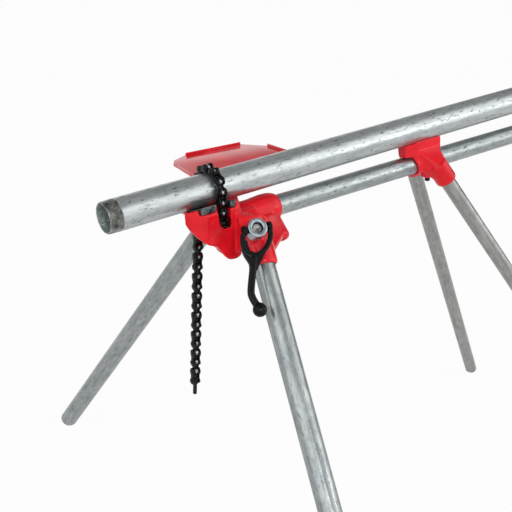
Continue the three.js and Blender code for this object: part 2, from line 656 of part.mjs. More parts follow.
function yokeHandle() {
  const { inside, outside, eye, pin, thickness, arm, stem, ball } = YOKE;
  const middle = (inside + outside) / 2;
  const leant = ([u, v]) => new THREE.Vector2(u, v).rotateAround(new THREE.Vector2(), FORK_SKEW).toArray();
  const fork = [
    [[-middle, 0], ...[[-26, 18], [-25, 36], [-19, 47], [-8, 52]].map(leant)],
    [[middle, 0], ...[[26, 12], [18, 34], [6, 46], [-6, 52]].map(leant)],
  ].map((path) => sweptBar(path, arm, thickness, 10));
  const eyes = [-1, 1].map((sign) =>
    rod(eye, outside - inside, SIDES.shaft).rotateY(Math.PI / 2).translate(sign > 0 ? inside : -outside, 0, 0));
  const crown = [[-29, 24], [-18.5, 24], [-17, 33], [-12.5, 42.5], [-2, 46.5], [8, 42], [15, 32], [18, 22], [25, 22],
    [20, 36], [10, 56], [4.5, 67], [0, 78], [-13.5, 78], [-14.5, 67], [-23, 55], [-28.5, 44]];
  const neck = extruded(crown.map(leant), thickness - 1).translate(0, 0, (1 - thickness) / 2);
  const shank = [[-6, 54], [-8, 80], [-11, 110], [-11, 122], [-6, 133], [3, 146]].map(leant);
  const knob = new THREE.SphereGeometry(ball, 16, 10).translate(...leant([5, 149]), 0);
  const bore = rod(holeRadius(pin, 0.3, 12), 80, 12).rotateY(Math.PI / 2).translate(-40, 0, 0);
  const whole = cut(join([...fork, ...eyes, neck, sweptBar(shank, stem, 11, 14), knob]), [bore]);
  const basis = new THREE.Matrix4().makeBasis(trunnionAxis, handleDown, handleNormal);
  return toGeometry(whole).applyMatrix4(basis.setPosition(onScrew(SLEEVE.trunnion)));
}

// Tool tray: sheet with three turned-up lips
function toolTray() {
  const { sheet, base, lip } = TRAY;
  const corners = TRAY_OUTLINE;
  const lipOn = (i) => {
    const [a, b] = [corners[i], corners[i + 1]].map(([x, y]) => new THREE.Vector2(x, y));
    const along = b.clone().sub(a).normalize();
    const inward = new THREE.Vector2(along.y, -along.x).multiplyScalar(sheet);
    const strip = [a, b, b.clone().add(inward), a.clone().add(inward)].map((p) => [p.x, p.y]);
    return alongZ(strip.reverse(), base, base + sheet + lip);
  };
  const plate = alongZ([...corners].reverse(), base, base + sheet);
  const holes = TRAY_BOLTS.map(([x, y]) => rod(holeRadius(3, 0.3, 12), 20, 12).translate(x, y, base - 5));
  return cut(join([plate, ...TRAY_LIPS.map(lipOn)]), holes);
}

function trayBolt([x, y]) {
  const top = TRAY.base + TRAY.sheet + 0.3;
  const shank = rod(3, 21, 12).translate(0, 0, -20);
  return toGeometry(join([shank, rod(6.2, 4.2, 6)])).translate(x, y, top);
}

// Assembly

add("vise_head", viseHead(), "enamel");
add("front_jaw", jawShape(FRONT_JAW), "blackSteel");
add("rear_jaw", jawShape(REAR_JAW), "blackSteel");
for (const [name, jaw] of [["front", FRONT_JAW], ["rear", REAR_JAW]]) {
  jawScrewSeats(jaw).forEach((seat, k) => {
    add(name + "_jaw_screw_" + ["near", "far"][k], jawScrew(seat, 0, 0), "blackSteel");
  });
}

const rail = add("back_rail", tube(RAIL.od, RAIL.wall, RAIL.rear - RAIL.front, SIDES.pipe), "galvanised");
rail.quaternion.setFromUnitVectors(Z, X);
rail.position.set(RAIL.front, 0, 0);

const workPipe = add("work_pipe", tube(WORK.od, WORK.wall, WORK.length, SIDES.work), "galvanised");
workPipe.quaternion.setFromUnitVectors(Z, workDirection);
workPipe.position.copy(workFront);

add("rear_support", rearSupport(), "enamel");
for (const [corner, line] of Object.entries(LEG_LINES)) {
  const leg = corner.startsWith("front") ? FRONT_LEG : REAR_LEG;
  add(corner + "_leg", legShape(leg, line), "galvanised");
}
for (const [name, place] of Object.entries(SCREWS)) {
  add(name, setScrew(place), "blackSteel");
}

add("tool_tray", toolTray(), "enamel");
TRAY_BOLTS.forEach((at, k) => add("tray_bolt_" + ["front", "rear"][k], trayBolt(at), "zinc"));

add("chain_rocker", chainRocker(), "blackIron");
add("screw_pad", screwPad(), "zinc");
add("clamp_screw", clampScrew(), "zinc");
add("screw_sleeve", screwSleeve(), "zinc");
add("yoke_pin_front", yokePin(-1), "blackSteel");
add("yoke_pin_rear", yokePin(1), "blackSteel");
add("yoke_handle", yokeHandle(), "blackIron");

const pairs = Math.floor((PINS.length - 1) / 2);
for (let k = 0; k < pairs; k += 1) {
  add("chain_link_" + String(k + 1).padStart(2, "0"), chainPair(k), "blackSteel");
}
add("chain_tip", chainTip(), "blackSteel");

// The origin is on the floor, under the middle of the object's length
const bounds = new THREE.Box3().setFromObject(stand, true);
stand.position.x = -(bounds.min.x + bounds.max.x) / 2;

export default stand;
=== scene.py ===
"""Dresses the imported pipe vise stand: pipes, castings, chain, clamp screw, tray, finishes and studio."""

import json
import logging
import math
from collections.abc import Callable, Iterator, Sequence
from contextlib import contextmanager
from dataclasses import dataclass
from enum import Enum
from typing import Any

import bmesh
import bpy
from mathutils import Euler, Matrix, Vector

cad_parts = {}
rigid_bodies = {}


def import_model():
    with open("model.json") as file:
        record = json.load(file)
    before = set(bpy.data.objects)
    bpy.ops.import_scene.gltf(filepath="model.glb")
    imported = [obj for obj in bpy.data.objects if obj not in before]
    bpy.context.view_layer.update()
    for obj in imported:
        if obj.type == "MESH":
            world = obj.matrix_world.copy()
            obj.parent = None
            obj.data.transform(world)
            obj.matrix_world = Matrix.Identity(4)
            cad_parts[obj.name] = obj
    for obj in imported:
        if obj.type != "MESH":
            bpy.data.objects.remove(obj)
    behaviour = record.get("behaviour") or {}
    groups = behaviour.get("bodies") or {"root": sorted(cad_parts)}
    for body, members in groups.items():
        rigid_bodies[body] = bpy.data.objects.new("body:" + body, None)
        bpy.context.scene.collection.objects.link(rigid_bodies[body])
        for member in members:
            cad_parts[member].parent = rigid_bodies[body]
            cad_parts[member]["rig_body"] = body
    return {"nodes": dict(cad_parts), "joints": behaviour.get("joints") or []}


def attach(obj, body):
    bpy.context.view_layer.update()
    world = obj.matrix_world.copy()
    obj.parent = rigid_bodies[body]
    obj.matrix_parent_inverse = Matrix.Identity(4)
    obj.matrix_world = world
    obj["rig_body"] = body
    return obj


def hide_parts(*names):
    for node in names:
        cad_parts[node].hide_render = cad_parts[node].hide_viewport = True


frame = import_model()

LOG = logging.getLogger("stand")
MM = 0.001
TOUCHING = 1e-6
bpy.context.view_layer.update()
SIDES = (("near", -1), ("far", 1))
Profile = list[tuple[float, float]]


class Slot(Enum):
    """Material slots of the record."""

    ENAMEL = "red_enamel"
    GALVANISED = "galvanised_pipe"
    ZINC = "zinc_plate"
    IRON = "black_iron"
    STEEL = "black_steel"


class Pick(Enum):
    """What a selection in edit mode is made of."""

    VERTEX = "VERT"
    EDGE = "EDGE"
    FACE = "FACE"


class Coat(Enum):
    """Places of a pipe's finishes in its list of materials, after the zinc of its skin."""

    THREAD = 1
    BORE = 2
    RIM = 3


# Frame of the stand


@dataclass(frozen=True)
class WorkLine:
    """Size and axis of the work pipe, in the rail's axes, in millimetres."""

    outside: float = 60.3
    lift: float = 70.7
    rise: float = math.radians(0.73)

    def height(self, x: float) -> float:
        """Returns the height of the pipe's axis at a place along the rail."""
        return self.lift + x * math.tan(self.rise)

    def direction(self) -> Vector:
        """Returns the direction of the pipe's axis, to the rear."""
        return Vector((math.cos(self.rise), 0, math.sin(self.rise)))


WORK = WorkLine()
CHAIN_X = 222
ROCKER_PIVOT = Vector((CHAIN_X, -19, -2))


@dataclass(frozen=True)
class RailFrame:
    """The back rail's own axes: X rearwards along it, Y to the far side, Z square to both."""

    origin: Vector
    rise: float = math.radians(6.64)
    outside: float = 42.2

    @classmethod
    def from_joints(cls, joints: Sequence[dict[str, Any]]) -> "RailFrame":
        """Finds the frame from the rocker's pivot.

        Args:
            joints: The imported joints.

        Returns:
            The rail frame.
        """
        pivot = next(joint["pos_m"] for joint in joints if joint["name"] == "rocker_tip")
        turn = Matrix.Rotation(-cls.rise, 3, "Y")
        return cls(Vector(pivot) - turn @ (ROCKER_PIVOT * MM))

    def matrix(self) -> Matrix:
        """Returns the turn and shift from the rail's axes to the row's."""
        return Matrix.Translation(self.origin) @ Matrix.Rotation(-self.rise, 4, "Y")

    def aim(self, at: Vector, direction: Vector) -> Matrix:
        """Places a piece that is drawn along +Z.

        Args:
            at: Where its foot goes, in the rail's axes, in millimetres.
            direction: Where its +Z points, in the rail's axes.

        Returns:
            The place in the row's axes.
        """
        turn = Vector((0, 0, 1)).rotation_difference(direction.normalized())
        return self.matrix() @ Matrix.Translation(at * MM) @ turn.to_matrix().to_4x4()

    def down(self) -> Vector:
        """Returns straight down, in the rail's axes."""
        return Vector((-math.sin(self.rise), 0, -math.cos(self.rise)))

    def floor_distance(self, at: Vector, direction: Vector) -> float:
        """Measures along a line to the floor.

        Args:
            at: Start of the line, in millimetres.
            direction: Direction of the line, of length one.

        Returns:
            The distance in millimetres.
        """
        height = (self.matrix() @ (at * MM)).z / MM
        return height / direction.dot(self.down())


# Modelling by operators


def activate(obj: bpy.types.Object) -> None:
    """Selects one object alone and makes it the active one.

    Args:
        obj: The object.
    """
    bpy.ops.object.select_all(action="DESELECT")
    obj.select_set(True)
    bpy.context.view_layer.objects.active = obj


@contextmanager
def editing(obj: bpy.types.Object) -> Iterator[None]:
    """Opens an object's mesh for editing, with nothing selected.

    Args:
        obj: The object.
    """
    activate(obj)
    bpy.ops.object.mode_set(mode="EDIT")
    bpy.ops.mesh.select_mode(type="VERT")
    bpy.ops.mesh.select_all(action="DESELECT")
    yield
    bpy.ops.object.mode_set(mode="OBJECT")


def pick(kind: Pick, test: Callable[[Vector, Vector], bool]) -> None:
    """Selects what passes a test in the mesh that is open.

    Args:
        kind: Vertices, edges or faces.
        test: Takes a vertex's place twice, an edge's two ends, or a face's centre and normal.
    """
    bpy.ops.mesh.select_mode(type=kind.value)
    mesh = bpy.context.edit_object.data
    shape = bmesh.from_edit_mesh(mesh)
    if kind is Pick.FACE:
        for face in shape.faces:
            face.select_set(test(face.calc_center_median(), face.normal))
    elif kind is Pick.EDGE:
        for edge in shape.edges:
            edge.select_set(test(edge.verts[0].co, edge.verts[1].co))
    else:
        for vertex in shape.verts:
            vertex.select_set(test(vertex.co, vertex.co))
    bmesh.update_edit_mesh(mesh)


def named(name: str) -> bpy.types.Object:
    """Names the piece that was just added.

    Args:
        name: The name.

    Returns:
        The piece.
    """
    obj = bpy.context.object
    obj.name = obj.data.name = name
    return obj


def block(name: str, size: Sequence[float], middle: Sequence[float]) -> bpy.types.Object:
    """Adds a rectangular block.

    Args:
        name: Name of the piece.
        size: Its length along X, Y and Z, in millimetres.
        middle: Its middle, in millimetres.

    Returns:
        The block.
    """
    bpy.ops.object.select_all(action="DESELECT")
    bpy.ops.mesh.primitive_cube_add(size=1)
    return settled(named(name), Matrix.LocRotScale(Vector(middle) * MM, None, Vector(size) * MM))


def prism(name: str, sides: int, radius: float, depth: float, place: Matrix) -> bpy.types.Object:
    """Adds a straight prism about Z.

    Args:
        name: Name of the piece.
        sides: Number of its sides.
        radius: Radius over its corners, in millimetres.
        depth: Its length along Z, in millimetres.
        place: Where it goes.

    Returns:
        The prism.
    """
    bpy.ops.object.select_all(action="DESELECT")
    bpy.ops.mesh.primitive_cylinder_add(vertices=sides, radius=radius * MM, depth=depth * MM)
    return settled(named(name), place)


def turned(name: str, profile: Profile, steps: int = 64) -> bpy.types.Object:
    """Spins a profile about Z, as on a lathe.

    Args:
        name: Name of the piece.
        profile: Radius and height of each corner, in millimetres.
        steps: Sides of the turned piece.

    Returns:
        The piece, at the origin.
    """
    bpy.ops.object.select_all(action="DESELECT")
    bpy.ops.mesh.primitive_plane_add(size=2 * MM)
    obj = named(name)
    with editing(obj):
        pick(Pick.VERTEX, lambda at, _: at.x > 0 or at.y > 0)
        bpy.ops.mesh.delete(type="VERT")
        bpy.ops.mesh.select_all(action="SELECT")
        radius, height = profile[0]
        bpy.ops.transform.translate(value=((radius + 1) * MM, MM, height * MM))
        for (r0, h0), (r1, h1) in zip(profile, profile[1:]):
            move = {"value": ((r1 - r0) * MM, 0, (h1 - h0) * MM)}
            bpy.ops.mesh.extrude_vertices_move(TRANSFORM_OT_translate=move)
        bpy.ops.mesh.select_all(action="SELECT")
        bpy.ops.mesh.spin(steps=steps, angle=2 * math.pi, center=(0, 0, 0), axis=(0, 0, 1))
        bpy.ops.mesh.select_all(action="SELECT")
        bpy.ops.mesh.remove_doubles(threshold=TOUCHING)
        bpy.ops.mesh.normals_make_consistent(inside=False)
    return obj


def thread(radius: float, start: float, end: float, pitch: float, depth: float) -> Profile:
    """Draws a screw thread as the side of a profile.

    Args:
        radius: Radius over the crests.
        start: Height where the thread starts.
        end: Height where it ends.
        pitch: From crest to crest.
        depth: From crest to root.

    Returns:
        Corners of the profile, from start to end.
    """
    count = max(1, int(abs(end - start) / pitch))
    step = (end - start) / count
    corners: Profile = [(radius - depth, start)]
    for turn in range(count):
        foot = start + turn * step
        corners += [(radius, foot + 0.4 * step), (radius, foot + 0.6 * step), (radius - depth, foot + step)]
    return corners


def joined(name: str, pieces: Sequence[bpy.types.Object]) -> bpy.types.Object:
    """Joins pieces into one object.

    Args:
        name: Name of the whole.
        pieces: The pieces, the first of which becomes the whole.

    Returns:
        The joined piece.
    """
    activate(pieces[0])
    for piece in pieces[1:]:
        piece.select_set(True)
    bpy.ops.object.join()
    return named(name)


def copied(obj: bpy.types.Object, place: Matrix) -> bpy.types.Object:
    """Copies a finished shape with its own mesh and settles the copy.

    Args:
        obj: The shape.
        place: Where the copy goes.

    Returns:
        The copy.
    """
    twin = bpy.data.objects.new(obj.name, obj.data.copy())
    bpy.context.scene.collection.objects.link(twin)
    return settled(twin, place)


def settled(obj: bpy.types.Object, place: Matrix) -> bpy.types.Object:
    """Moves a piece that was drawn at the origin and applies its place to the mesh.

    Args:
        obj: The piece.
        place: Where it goes.

    Returns:
        The piece.
    """
    activate(obj)
    obj.matrix_world = place
    bpy.ops.object.transform_apply(location=True, rotation=True, scale=True)
    return obj


def modified(obj: bpy.types.Object, kind: str, **settings: Any) -> bpy.types.Object:
    """Adds a modifier and applies it.

    Args:
        obj: The piece.
        kind: Type of the modifier.
        settings: Its settings.

    Returns:
        The piece.
    """
    activate(obj)
    modifier = obj.modifiers.new(kind.lower(), kind)
    for key, value in settings.items():
        setattr(modifier, key, value)
    bpy.ops.object.modifier_apply(modifier=modifier.name)
    return obj


def smoothed(obj: bpy.types.Object, degrees: float = 35) -> bpy.types.Object:
    """Shades a piece smooth, with creases above an angle.

    Args:
        obj: The piece.
        degrees: The angle.

    Returns:
        The piece.
    """
    activate(obj)
    bpy.ops.object.shade_smooth_by_angle(angle=math.radians(degrees))
    return obj


def eased(obj: bpy.types.Object, width: float, segments: int = 2) -> bpy.types.Object:
    """Rounds the sharp edges of a piece.

    Args:
        obj: The piece.
        width: Width of the rounding, in millimetres.
        segments: Steps of the rounding.

    Returns:
        The piece.
    """
    return modified(obj, "BEVEL", width=width * MM, segments=segments, limit_method="ANGLE",
                    angle_limit=math.radians(40), harden_normals=False)


def cast(node: str, voxel: float, passes: int) -> bpy.types.Object:
    """Copies a CAD solid and gives it the soft corners of a casting or forging.

    Args:
        node: The CAD node.
        voxel: Grain of the new skin, in millimetres.
        passes: How far its corners are rounded.

    Returns:
        The piece.
    """
    obj = bpy.data.objects.new(node, frame["nodes"][node].data.copy())
    obj.data.materials.clear()
    bpy.context.scene.collection.objects.link(obj)
    with editing(obj):
        bpy.ops.mesh.select_all(action="SELECT")
        bpy.ops.mesh.remove_doubles(threshold=10 * TOUCHING)
    modified(obj, "REMESH", mode="VOXEL", voxel_size=voxel * MM)
    modified(obj, "SMOOTH", factor=0.5, iterations=passes)
    activate(obj)
    bpy.ops.object.shade_smooth()
    return obj


def dress(obj: bpy.types.Object, *finishes: bpy.types.Material) -> bpy.types.Object:
    """Gives a piece its materials, and all its faces the first of them.

    Args:
        obj: The piece.
        finishes: The materials.

    Returns:
        The piece.
    """
    obj.data.materials.clear()
    for finish in finishes:
        obj.data.materials.append(finish)
    return obj


def paint(obj: bpy.types.Object, index: int, test: Callable[[Vector], bool]) -> None:
    """Gives some faces of a piece another of its materials.

    Args:
        obj: The piece.
        index: Place of the material.
        test: Takes the centre of a face.
    """
    for face in obj.data.polygons:
        if test(face.center):
            face.material_index = index


def install(obj: bpy.types.Object, node: str) -> bpy.types.Object:
    """Puts a piece in the place of a CAD node, on that node's body.

    Args:
        obj: The piece.
        node: The CAD node that it stands for.

    Returns:
        The piece.
    """
    obj.name = obj.data.name = node + "_piece"
    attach(obj, frame["nodes"][node]["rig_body"])
    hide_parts(node)
    LOG.info("%s: %d faces for %s", obj.name, len(obj.data.polygons), node)
    return obj


def fitted(obj: bpy.types.Object, place: Matrix, finish: bpy.types.Material, node: str) -> None:
    """Places, shades and dresses a drawn piece, and puts it in the place of a CAD node.

    Args:
        obj: The piece, at the origin.
        place: Where it goes.
        finish: Its material.
        node: The CAD node.
    """
    install(dress(smoothed(settled(obj, place)), finish), node)


# Finishes


def linear(code: str) -> tuple[float, float, float, float]:
    """Turns an sRGB hex code into a linear colour.

    Args:
        code: Six hex digits.

    Returns:
        Red, green, blue and alpha.
    """
    parts = [int(code[k:k + 2], 16) / 255 for k in (0, 2, 4)]
    red, green, blue = (p / 12.92 if p <= 0.04045 else ((p + 0.055) / 1.055) ** 2.4 for p in parts)
    return red, green, blue, 1.0


def per(millimetres: float) -> float:
    """Returns the texture scale whose features are that many millimetres across."""
    return 1 / (millimetres * MM)


class Recipe:
    """Node tree of one material or of the world."""

    def __init__(self, owner: bpy.types.Material | bpy.types.World) -> None:
        """Empties the owner's node tree.

        Args:
            owner: The material or the world.
        """
        self.owner = owner
        self.owner.use_nodes = True
        self.tree = self.owner.node_tree
        self.tree.nodes.clear()

    @classmethod
    def named(cls, name: str) -> "Recipe":
        """Starts a new material of that name, and returns its recipe."""
        return cls(bpy.data.materials.new(name))

    def add(self, kind: str, inputs: dict[str | int, Any] | None = None, **settings: Any) -> bpy.types.Node:
        """Adds a node with its settings and links.

        Args:
            kind: Type of the node, without the prefix that all of them share.
            inputs: For each input a value, a socket to link from, or a node for its first output in use.
            settings: Properties of the node.

        Returns:
            The node.
        """
        node = self.tree.nodes.new("ShaderNode" + kind)
        for key, value in settings.items():
            setattr(node, key, value)
        for key, value in (inputs or {}).items():
            if isinstance(value, bpy.types.Node):
                value = next(socket for socket in value.outputs if socket.enabled)
            if isinstance(value, bpy.types.NodeSocket):
                self.tree.links.new(value, node.inputs[key])
            else:
                node.inputs[key].default_value = value
        return node

    def place(self, turn: Euler | None = None, stretch: float = 1) -> bpy.types.Node:
        """Gives the piece's own coordinates, turned and stretched for a pattern.

        Args:
            turn: Turn of the pattern's axes.
            stretch: How much longer the pattern is along its Z.

        Returns:
            The node that gives the coordinates.
        """
        own = self.add("TexCoord").outputs["Object"]
        settings = {"Vector": own, "Rotation": turn or Euler(), "Scale": (1, 1, stretch)}
        return self.add("Mapping", settings, vector_type="TEXTURE")

    def finish(self, **inputs: Any) -> bpy.types.Material:
        """Ends the tree with one surface shader.

        Args:
            inputs: Inputs of the shader, with underscores for spaces.

        Returns:
            The material.
        """
        sockets = {key.replace("_", " "): value for key, value in inputs.items()}
        self.add("OutputMaterial", {"Surface": self.add("BsdfPrincipled", sockets)})
        return self.owner


@dataclass(frozen=True)
class RedEnamel:
    """Gloss enamel over iron or sheet, with the sizes of its patterns in millimetres."""

    name: str
    deep: str = "C9111E"
    bright: str = "E01B29"
    drift: float = 45
    grain: float = 9
    peel: float = 1.5
    relief: float = 0.4
    mirror: float = 0.24
    coat: float = 0.0

    def material(self) -> bpy.types.Material:
        """Mixes the enamel: a slow change of red, soft sand-cast waves and fine orange peel under gloss.

        Returns:
            The material.
        """
        mix = Recipe.named(self.name)
        at = mix.place()
        drift = mix.add("TexNoise", {"Vector": at, "Scale": per(self.drift), "Detail": 3})
        waves = mix.add("TexNoise", {"Vector": at, "Scale": per(self.grain), "Detail": 3})
        peel = mix.add("TexNoise", {"Vector": at, "Scale": per(self.peel), "Detail": 2})
        share = mix.add("MapRange", {"Value": drift, "From Min": 0.35, "From Max": 0.65})
        colour = mix.add("Mix", {0: share, 6: linear(self.deep), 7: linear(self.bright)}, data_type="RGBA")
        gloss = mix.add("MapRange", {"Value": waves, "From Min": 0.3, "From Max": 0.7,
                                     "To Min": 0.12, "To Max": 0.2})
        sand = mix.add("Bump", {"Height": waves, "Distance": 0.8 * MM, "Strength": self.relief})
        relief = mix.add("Bump", {"Height": peel, "Distance": 0.1 * MM, "Strength": 0.12, "Normal": sand})
        return mix.finish(Base_Color=colour, Roughness=gloss, Normal=relief, Specular_IOR_Level=self.mirror,
                          Coat_Weight=self.coat, Coat_Roughness=0.06)


@dataclass(frozen=True)
class Galvanised:
    """Hot-dip zinc on drawn pipe, with the sizes of its patterns in millimetres."""

    dark: str = "9EA5A7"
    light: str = "C2C6C7"
    fleck: str = "4A5254"
    fleck_share: float = 0.8
    ripple: float = 0.6
    spangle: str = "DDE1E1"
    wave_size: float = 9
    fleck_size: float = 5
    spangle_size: float = 7

    def material(self, name: str, turn: Euler) -> bpy.types.Material:
        """Gives zinc its drawn streaks, soft spangle and dark flecks, all along the pipe.

        Args:
            name: Name of the material.
            turn: Turn that takes Z to the pipe's axis.

        Returns:
            The material.
        """
        mix = Recipe.named(name)
        drawn = mix.place(turn, 8)
        near = mix.place(turn, 2.6)
        waves = {"Scale": per(self.wave_size), "Roughness": 0.6}
        streak = mix.add("TexNoise", {"Vector": drawn, "Detail": 4, **waves})
        ripple = mix.add("TexNoise", {"Vector": near, "Detail": 3, **waves})
        fleck = mix.add("TexNoise", {"Vector": near, "Scale": per(self.fleck_size), "Detail": 3,
                                     "Roughness": 0.65})
        cells = mix.add("TexVoronoi", {"Vector": near, "Scale": per(self.spangle_size)}, feature="F1")
        crystals = mix.add("SeparateColor", {"Color": cells.outputs["Color"]})
        share = mix.add("MapRange", {"Value": streak, "From Min": 0.3, "From Max": 0.7})
        tone = mix.add("Mix", {0: share, 6: linear(self.dark), 7: linear(self.light)}, data_type="RGBA")
        glint = mix.add("MapRange", {"Value": crystals, "To Max": 0.18})
        shine = mix.add("Mix", {0: glint, 6: tone, 7: linear(self.spangle)}, data_type="RGBA")
        spots = mix.add("MapRange", {"Value": fleck, "From Min": 0.31, "From Max": 0.42,
                                     "To Min": self.fleck_share, "To Max": 0})
        colour = mix.add("Mix", {0: spots, 6: shine, 7: linear(self.fleck)}, data_type="RGBA")
        rough = mix.add("MapRange", {"Value": fleck, "From Min": 0.3, "From Max": 0.6,
                                     "To Min": 0.42, "To Max": 0.28})
        skin = mix.add("Bump", {"Height": ripple, "Distance": 1.2 * MM, "Strength": self.ripple})
        relief = mix.add("Bump", {"Height": fleck, "Distance": 0.3 * MM, "Strength": 0.4, "Normal": skin})
        return mix.finish(Base_Color=colour, Roughness=rough, Normal=relief, Metallic=0.92)


@dataclass(frozen=True)
class DarkMetal:
    """Blacked, plated or bare metal with a little mottle, with the sizes of its patterns in millimetres."""

    name: str
    dark: str
    light: str
    metallic: float
    rough: tuple[float, float]
    grain: float = 4
    depth: float = 0.15
    mirror: float = 0.5
    grit: float = 0.8

    def material(self) -> bpy.types.Material:
        """Mixes the metal: uneven tone, fine grit and a rubbed sheen.

        Returns:
            The material.
        """
        mix = Recipe.named(self.name)
        at = mix.place()
        mottle = mix.add("TexNoise", {"Vector": at, "Scale": per(self.grain), "Detail": 4, "Roughness": 0.6})
        # Real grit is finer: it is drawn this coarse so that it shows
        grit = mix.add("TexNoise", {"Vector": at, "Scale": per(self.grit), "Detail": 2})
        share = mix.add("MapRange", {"Value": mottle, "From Min": 0.35, "From Max": 0.68})
        colour = mix.add("Mix", {0: share, 6: linear(self.dark), 7: linear(self.light)}, data_type="RGBA")
        sheen = mix.add("MapRange", {"Value": mottle, "From Min": 0.35, "From Max": 0.65,
                                     "To Min": self.rough[0], "To Max": self.rough[1]})
        relief = mix.add("Bump", {"Height": grit, "Distance": self.depth * MM, "Strength": 0.3})
        return mix.finish(Base_Color=colour, Roughness=sheen, Normal=relief, Metallic=self.metallic,
                          Specular_IOR_Level=self.mirror)


@dataclass(frozen=True)
class Finishes:
    """The stand's finishes."""

    casting: bpy.types.Material
    sheet: bpy.types.Material
    black_steel: bpy.types.Material
    jaw_steel: bpy.types.Material
    roller: bpy.types.Material
    iron: bpy.types.Material
    zinc: bpy.types.Material
    bare: bpy.types.Material
    bore: bpy.types.Material

    @classmethod
    def mixed(cls) -> "Finishes":
        """Mixes the finishes.

        Returns:
            The finishes.
        """
        return cls(
            # Sand cast and dipped: a rippled skin with broken glints
            casting=RedEnamel("gloss red enamel on cast iron").material(),
            # Folded and sprayed: a flat skin that mirrors the room
            sheet=RedEnamel("gloss red enamel on sheet steel", grain=30, relief=0.1, mirror=0.5,
                            coat=0.3).material(),
            # Stamped, blacked and oiled: near black, with soft lights on its edges
            black_steel=DarkMetal("oiled black chain steel", "0B0B0C", "222326", 0.8, (0.24, 0.4)).material(),
            # Hardened, blacked and rubbed by pipes: dark, with grey patches that are partly rubbed wear and
            # partly painted highlight
            jaw_steel=DarkMetal("blacked hardened jaw steel", "1C2123", "7C8588", 0.85, (0.24, 0.38),
                                grain=9).material(),
            # Turned and worn by running: small bright glints
            roller=DarkMetal("rubbed bright steel", "66696C", "C0C2C4", 1, (0.18, 0.3)).material(),
            # Forged and dipped: an even satin black
            iron=DarkMetal("satin black forged iron", "040505", "0C0D0F", 0.0, (0.24, 0.36), grain=7,
                           depth=0.2, mirror=0.16).material(),
            # Turned and plated: pale, with a soft blue sheen
            zinc=DarkMetal("bright zinc plate", "949DA5", "B9C1C8", 1, (0.28, 0.38), grain=5,
                           depth=0.06).material(),
            # Cut with oil: bare steel, bright on the crests and dark in patches
            bare=DarkMetal("oily threaded steel", "4E504E", "B4B5B1", 1, (0.26, 0.4), grain=14).material(),
            # Dipped inside and never rubbed: a dull grey green
            bore=DarkMetal("dull zinc of a pipe's bore", "87938F", "ADB8B4", 0.45, (0.4, 0.55),
                           grain=8).material(),
        )


# Pipes


@dataclass
class Pipe:
    """A galvanised pipe, with a threaded front end and a weld bead where it has them, in millimetres."""

    node: str
    outside: float
    wall: float
    length: float
    threaded: float = 0
    thread_start: float = 1.2
    thread_pitch: float = 2.2
    thread_depth: float = 1.3
    thread_taper: float = 1 / 32
    bore_ease: float = 0.6
    rim_ease: float = 0.7
    seam: float | None = None
    bead_rise: float = 2
    bead_width: float = 2.6
    bead_inset: float = 2
    sides: int = 96
    zinc: Galvanised = Galvanised()

    def profile(self) -> Profile:
        """Draws the wall, with eased rims, and a tapered thread if it has one.

        Returns:
            The outline of the wall.
        """
        outer = self.outside / 2
        inner = outer - self.wall
        bore, rim, length = self.bore_ease, self.rim_ease, self.length
        front: Profile = [(inner, bore), (inner + bore, 0), (outer - rim, 0), (outer, rim)]
        if self.threaded:
            turns = thread(outer, self.thread_start, self.threaded, self.thread_pitch, self.thread_depth)
            shrunk = [(r - self.thread_taper * (self.threaded - h), h) for r, h in turns]
            face = shrunk[0][0] - 0.2
            front = [(inner, bore / 2), (inner + bore / 2, 0), (face, 0), *shrunk, (outer, self.threaded + 1)]
        rear: Profile = [(outer, length - rim), (outer - rim, length), (inner + bore, length)]
        return [*front, *rear, (inner, length - bore), front[0]]

    def weld(self, turn: float) -> bpy.types.Object:
        """Draws the weld bead along the bore.

        Args:
            turn: Where it is, in degrees about the pipe's axis.

        Returns:
            The bead.
        """
        size = (self.bead_rise, self.bead_width, self.length - 2 * self.bead_inset)
        bead = block("bead", size, (self.outside / 2 - self.wall, 0, self.length / 2))
        return eased(settled(bead, Matrix.Rotation(math.radians(turn), 4, "Z")), 0.5)

    def build(self, place: Matrix, finishes: Finishes) -> bpy.types.Object:
        """Turns the pipe, dresses it, with its bead in zinc, and cuts its foot to the floor.

        Args:
            place: Its foot and direction.
            finishes: The stand's finishes.

        Returns:
            The pipe.
        """
        obj = turned(self.node, self.profile(), self.sides)
        skin = self.zinc.material("galvanised steel, " + self.node.replace("_", " "), place.to_euler())
        finish = (skin, finishes.bare, finishes.bore, finishes.roller)
        dress(obj, *finish)
        inner = (self.outside / 2 - self.wall) * MM
        close = 0.2 * MM
        paint(obj, Coat.BORE.value, lambda at: math.hypot(at.x, at.y) < inner + close)
        if self.threaded:
            end = self.threaded * MM
            eased_bore = inner + self.bore_ease * MM
            paint(obj, Coat.THREAD.value, lambda at: at.z < end and math.hypot(at.x, at.y) > eased_bore)
            paint(obj, Coat.RIM.value, lambda at: at.z < close)
        if self.seam is not None:
            obj = joined(self.node, [obj, dress(self.weld(self.seam), *finish)])
        settled(obj, place)
        with editing(obj):
            bpy.ops.mesh.select_all(action="SELECT")
            bpy.ops.mesh.bisect(plane_co=(0, 0, 0), plane_no=(0, 0, 1), use_fill=True, clear_inner=True)
        return install(smoothed(obj, 40), self.node)


@dataclass(frozen=True)
class Leg:
    """Line, pipe and set screw of one pair of legs, in the rail's axes, in millimetres and degrees."""

    outside: float
    wall: float
    x: float
    side: float
    lean: float
    splay: float
    top: float
    screw_reach: float
    screw_swing: float

    def line(self, sign: int) -> tuple[Vector, Vector]:
        """Gives the axis of a leg.

        Args:
            sign: -1 for the near side, 1 for the far side.

        Returns:
            A point on it and its direction.
        """
        lean = math.tan(math.radians(self.lean))
        splay = math.tan(math.radians(self.splay))
        return Vector((self.x, sign * self.side, 0)), Vector((lean, sign * splay, -1)).normalized()


